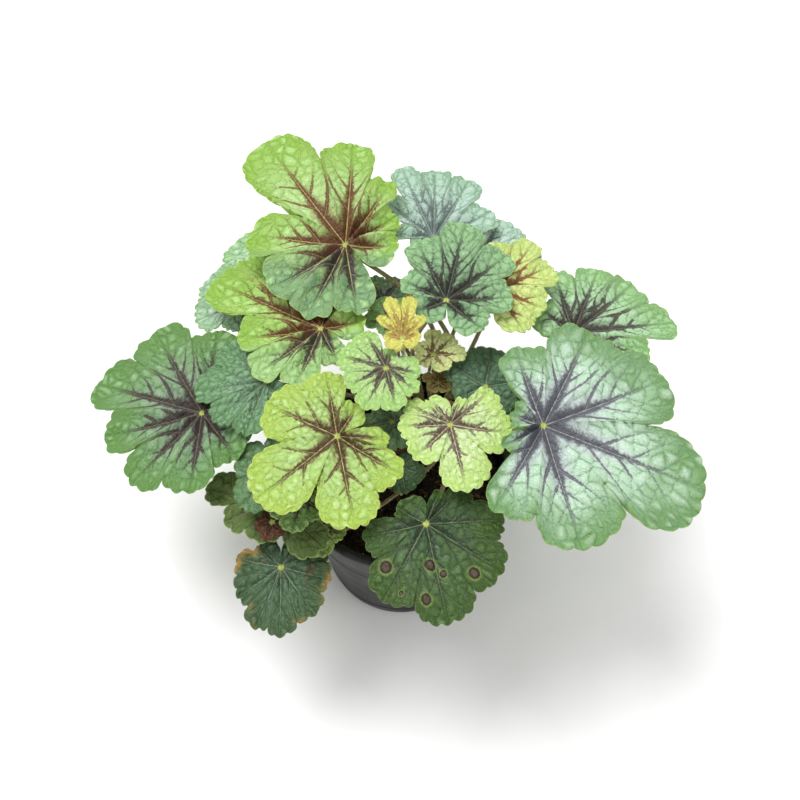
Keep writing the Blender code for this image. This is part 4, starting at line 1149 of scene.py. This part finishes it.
def crumb_material():
    """Peat and bark in several browns, darkened as painted shade from the leaves, and a few white bits of
    perlite, by each crumb's own tone.
    """
    s = Shading("crumbs")
    tone = s.number("tone")
    place = s.place()
    # Peat and bark browns, made darker still as painted shade of the leaves above
    colour = s.mix(s.smooth(tone, 0.1, 0.6), srgb(24, 18, 15), srgb(62, 48, 36))
    colour = s.mix(s.smooth(tone, 0.75, 0.95), colour, srgb(104, 78, 52))
    colour = s.mix(s.smooth(tone, PERLITE_FROM, 0.975), colour, srgb(226, 222, 212))
    pores = s.noise(place, 1500, 4, 0.7)
    colour = s.mix(s.smooth(pores, 0.4, 0.65, 0.0, 0.55), colour, srgb(24, 18, 14), "MULTIPLY")
    return s.finish(colour, 0.9, s.bump(pores, 0.0004), 0.2)


def build_crumbs(chance):
    """Crumbs of peat, bark and a little perlite, half sunk in the top of the soil."""
    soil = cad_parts["soil"].data
    tree = BVHTree.FromPolygons([v.co for v in soil.vertices],
                                [list(p.vertices) for p in soil.polygons])
    ball = bmesh.new()
    bmesh.ops.create_icosphere(ball, subdivisions=1, radius=1)
    shape = np.array([v.co for v in ball.verts])
    sides = np.array([[v.index for v in face.verts] for face in ball.faces])
    ball.free()
    verts, faces, tones = [], [], []
    while len(verts) < CRUMBS:
        out, turn = (POT_RIM_R - 8) * math.sqrt(chance.uniform()), chance.uniform(0, TURN)
        x, y = out * math.cos(turn), out * math.sin(turn)
        if math.hypot(x - CROWN_X, y - CROWN_Y) < CROWN_R + 1.5:
            continue
        hit = tree.ray_cast((x * MM, y * MM, 0.2), (0, 0, -1))[0]
        if hit is None:
            continue
        tone = chance.uniform()
        size = CRUMB_LEAST + CRUMB_SPAN * chance.uniform() ** 2
        stretch = np.array([1, chance.uniform(0.5, 1), chance.uniform(0.35, 0.8)])
        if BARK_FROM < tone < PERLITE_FROM:
            stretch[0] = chance.uniform(1.5, 3.2)
        knobs = shape * (size * stretch) * chance.uniform(0.75, 1.2, (len(shape), 1))
        spin = Matrix.Rotation(chance.uniform(0, TURN), 3, "Z") @ Matrix.Rotation(
            chance.uniform(-0.5, 0.5), 3, "Y")
        centre = np.array(hit) / MM + (0, 0, size * 0.12)
        faces.append(sides + len(shape) * len(verts))
        verts.append(knobs @ np.array(spin).T + centre)
        tones.append(np.full(len(shape), tone))
    made = mesh_from("soil_crumbs", np.vstack(verts), np.vstack(faces), {"tone": np.concatenate(tones)})
    made.data.materials.append(crumb_material())
    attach(made, "root")


def bark_material():
    """The woody crown: fissured brown bark, scarred where old stalks broke off."""
    s = Shading("crown_bark")
    place = s.place()
    fissure = s.cells(place, 330)
    bark = s.noise(place, 420, 6, 0.7)
    scars = s.noise(place, 130, 3)
    colour = s.mix(s.smooth(bark, 0.35, 0.65), srgb(74, 48, 34), srgb(142, 102, 74))
    colour = s.mix(s.smooth(scars, 0.5, 0.62, 0.0, 0.5), colour, srgb(152, 96, 80))
    colour = s.mix(s.smooth(fissure, 0.16, 0.02, 0.0, 0.75), colour, srgb(34, 22, 16))
    normal = s.bump(bark, 0.0005, 1.0, s.bump(fissure, 0.0014))
    return s.finish(colour, s.smooth(bark, 0.3, 0.7, 0.7, 0.9), normal, 0.3)


def scale_material():
    """Papery stipules: brown and half dry, streaked along, paler and greener at the base."""
    s = Shading("crown_scales")
    along = s.number("along")
    streak = s.noise(s.place(), 800, 5, 0.7)
    colour = s.mix(s.smooth(s.plus(along, s.times(streak, 0.5)), 0.3, 1.0),
                   srgb(166, 150, 96), srgb(120, 76, 50))
    colour = s.mix(s.smooth(streak, 0.55, 0.7, 0.0, 0.6), colour, srgb(78, 46, 32))
    return s.finish(colour, 0.75, s.bump(streak, 0.0003), 0.3)


def build_scales(stalks, chance):
    """Pointed papery scales that clasp the foot of every stalk, three to each."""
    verts, faces, along = [], [], []
    rows, columns = SCALE_ROWS, SCALE_COLUMNS
    for rings in stalks:
        foot, way, side, r = rings[-2]
        way = -way
        across = np.cross(way, side)
        start = chance.uniform(0, TURN)
        for k in range(SCALES_EACH):
            turn = start + TURN * k / SCALES_EACH + chance.uniform(-0.3, 0.3)
            length = chance.uniform(*SCALE_LENGTHS)
            width = chance.uniform(*SCALE_WIDTHS)
            first = len(verts)
            for skin in (0.0, SCALE_THICK):
                for row in range(rows):
                    t = row / (rows - 1)
                    narrow = width * (1 - t ** 1.6) + 0.04
                    out = r + 0.15 + skin + 0.9 * t * t * chance.uniform(0.6, 1.4)
                    for column in range(columns):
                        a = turn + narrow * (column / (columns - 1) - 0.5) * 2
                        around = side * math.cos(a) + across * math.sin(a)
                        verts.append(foot + way * (length * t - 1.5) + around * out)
                        along.append(t)
            sheet = rows * columns
            for row in range(rows - 1):
                for column in range(columns - 1):
                    a = first + row * columns + column
                    b, c, d = a + 1, a + columns, a + columns + 1
                    faces += [(a, c, b), (b, c, d)]
                    a, b, c, d = (n + sheet for n in (a, b, c, d))
                    faces += [(a, b, c), (b, d, c)]
            edge = [first + n for n in range(columns)]
            edge += [first + row * columns + columns - 1 for row in range(1, rows)]
            edge += [first + (rows - 1) * columns + n for n in range(columns - 2, -1, -1)]
            edge += [first + row * columns for row in range(rows - 2, 0, -1)]
            for a, b in zip(edge, edge[1:] + edge[:1]):
                faces += [(a, b, a + sheet), (b, b + sheet, a + sheet)]
    made = mesh_from("crown_scales", np.array(verts), faces, {"along": np.array(along)})
    made.data.materials.append(scale_material())
    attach(made, "root")


def add_tube(verts, faces, line, radii, sides=8):
    """Adds a closed tube along a line of points, with its radius at each of them."""
    side = np.cross(line[1] - line[0], (0.3, 0.2, 1.0))
    rings = []
    for k, point in enumerate(line):
        way = line[min(k + 1, len(line) - 1)] - line[max(k - 1, 0)]
        way = way / np.linalg.norm(way)
        side = side - way * (side @ way)
        side = side / np.linalg.norm(side)
        across = np.cross(way, side)
        rings.append(list(range(len(verts), len(verts) + sides)))
        for j in range(sides):
            a = TURN * j / sides
            verts.append(point + (side * math.cos(a) + across * math.sin(a)) * radii[k])
    for one, two in zip(rings, rings[1:]):
        for j in range(sides):
            a, b = one[j], one[(j + 1) % sides]
            c, d = two[j], two[(j + 1) % sides]
            faces += [(a, b, c), (b, d, c)]
    for ring, point, turned in ((rings[0], line[0], True), (rings[-1], line[-1], False)):
        verts.append(point)
        middle = len(verts) - 1
        for j in range(sides):
            a, b = ring[j], ring[(j + 1) % sides]
            faces.append((b, a, middle) if turned else (a, b, middle))


def dry_material():
    """Dead stalks: shrivelled, pinkish brown in blotches, with dark flecks and a fine bumpy skin."""
    s = Shading("dry_stalks")
    place = s.place()
    streak = s.noise(place, 700, 5, 0.7)
    blotch = s.noise(place, 160, 3)
    colour = s.mix(s.smooth(blotch, 0.4, 0.62), srgb(158, 104, 84), srgb(190, 142, 116))
    colour = s.mix(s.smooth(streak, 0.5, 0.68, 0.0, 0.7), colour, srgb(92, 52, 38))
    return s.finish(colour, 0.7, s.bump(streak, 0.0004), 0.35)


def build_dry_stalks(chance):
    """Dead stalks of last year's leaves, arching off the crown and down onto the soil."""
    verts, faces = [], []
    for turn, out, lift in DRY_STALKS:
        a = math.radians(turn)
        way = np.array((math.cos(a), math.sin(a), 0))
        swerve = np.array((-way[1], way[0], 0)) * chance.uniform(-DRY_SWERVE, DRY_SWERVE)
        middle = np.array((CROWN_X, CROWN_Y, 0))
        start = middle + way * DRY_START + (0, 0, CROWN_TOP - 3)
        bend = middle + way * (out * 0.75) + swerve + (0, 0, CROWN_TOP + lift)
        end = middle + way * out + swerve + (0, 0, SOIL_TOP + 2)
        line = bent(start, bend, end, np.linspace(0, 1, DRY_RINGS)[:, None])
        radii = np.linspace(*DRY_R, DRY_RINGS) * chance.uniform(0.86, 1.1, DRY_RINGS)
        add_tube(verts, faces, line, radii)
    made = mesh_from("dry_stalks", np.array(verts), faces)
    made.data.materials.append(dry_material())
    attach(made, "root")


def dress_node(name, look):
    """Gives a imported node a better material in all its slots."""
    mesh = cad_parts[name].data
    for slot in range(len(mesh.materials)):
        mesh.materials[slot] = look


def build_stage():
    """A pale floor and sky, one broad soft light from the upper left and a weak lamp opposite."""
    mesh = bpy.data.meshes.new("floor")
    corners = [(-FLOOR, -FLOOR, 0), (FLOOR, -FLOOR, 0), (FLOOR, FLOOR, 0), (-FLOOR, FLOOR, 0)]
    mesh.from_pydata(corners, [], [(0, 1, 2, 3)])
    floor = bpy.data.objects.new("floor", mesh)
    bpy.context.scene.collection.objects.link(floor)
    s = Shading("floor")
    mottle = s.noise(s.place(), 40, 4)
    tone = s.mix(mottle, srgb(243, 243, 243), srgb(248, 248, 248))
    mesh.materials.append(s.finish(tone, 0.8, s.bump(mottle, 0.0001), 0.2))

    world = bpy.data.worlds.new("studio")
    world.use_nodes = True
    world.node_tree.nodes["Background"].inputs["Color"].default_value = (1, 1, 1, 1)
    world.node_tree.nodes["Background"].inputs["Strength"].default_value = SKY
    bpy.context.scene.world = world
    key = bpy.data.lights.new("key", "SUN")
    key.angle = math.radians(KEY_WIDTH)
    key.energy = KEY_POWER
    fill = bpy.data.lights.new("fill", "AREA")
    fill.shape = "DISK"
    fill.size = FILL_SIZE
    fill.energy = FILL_POWER
    for data, place in ((key, KEY_AT), (fill, FILL_AT)):
        lamp = bpy.data.objects.new(data.name, data)
        lamp.location = place
        aim = Vector(LIT) - Vector(place)
        lamp.rotation_euler = aim.to_track_quat("-Z", "Y").to_euler()
        bpy.context.scene.collection.objects.link(lamp)


def place_camera():
    """A camera that looks down at the plant from the front."""
    data = bpy.data.cameras.new("camera")
    data.sensor_width = 36.0
    data.lens = LENS
    camera = bpy.data.objects.new("camera", data)
    camera.location = CAMERA_AT
    camera.rotation_euler = (math.radians(90 - ELEVATION), 0, 0)
    bpy.context.scene.collection.objects.link(camera)
    bpy.context.scene.camera = camera
    bpy.context.scene.view_settings.view_transform = "Standard"


def main():
    place_camera()
    build_stage()
    chance = np.random.default_rng(SEED)
    design_leaves()
    stalks = []
    for spec in LEAVES:
        trace_margin(spec)
        read_solid(spec)
        stalks.append(build_leaf(spec, chance))
    build_hairs(stalks, chance)
    build_scales(stalks, chance)
    build_dry_stalks(chance)
    build_pot()
    build_crumbs(chance)
    dress_node("soil", soil_material())
    dress_node("crown", bark_material())
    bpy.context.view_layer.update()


main()
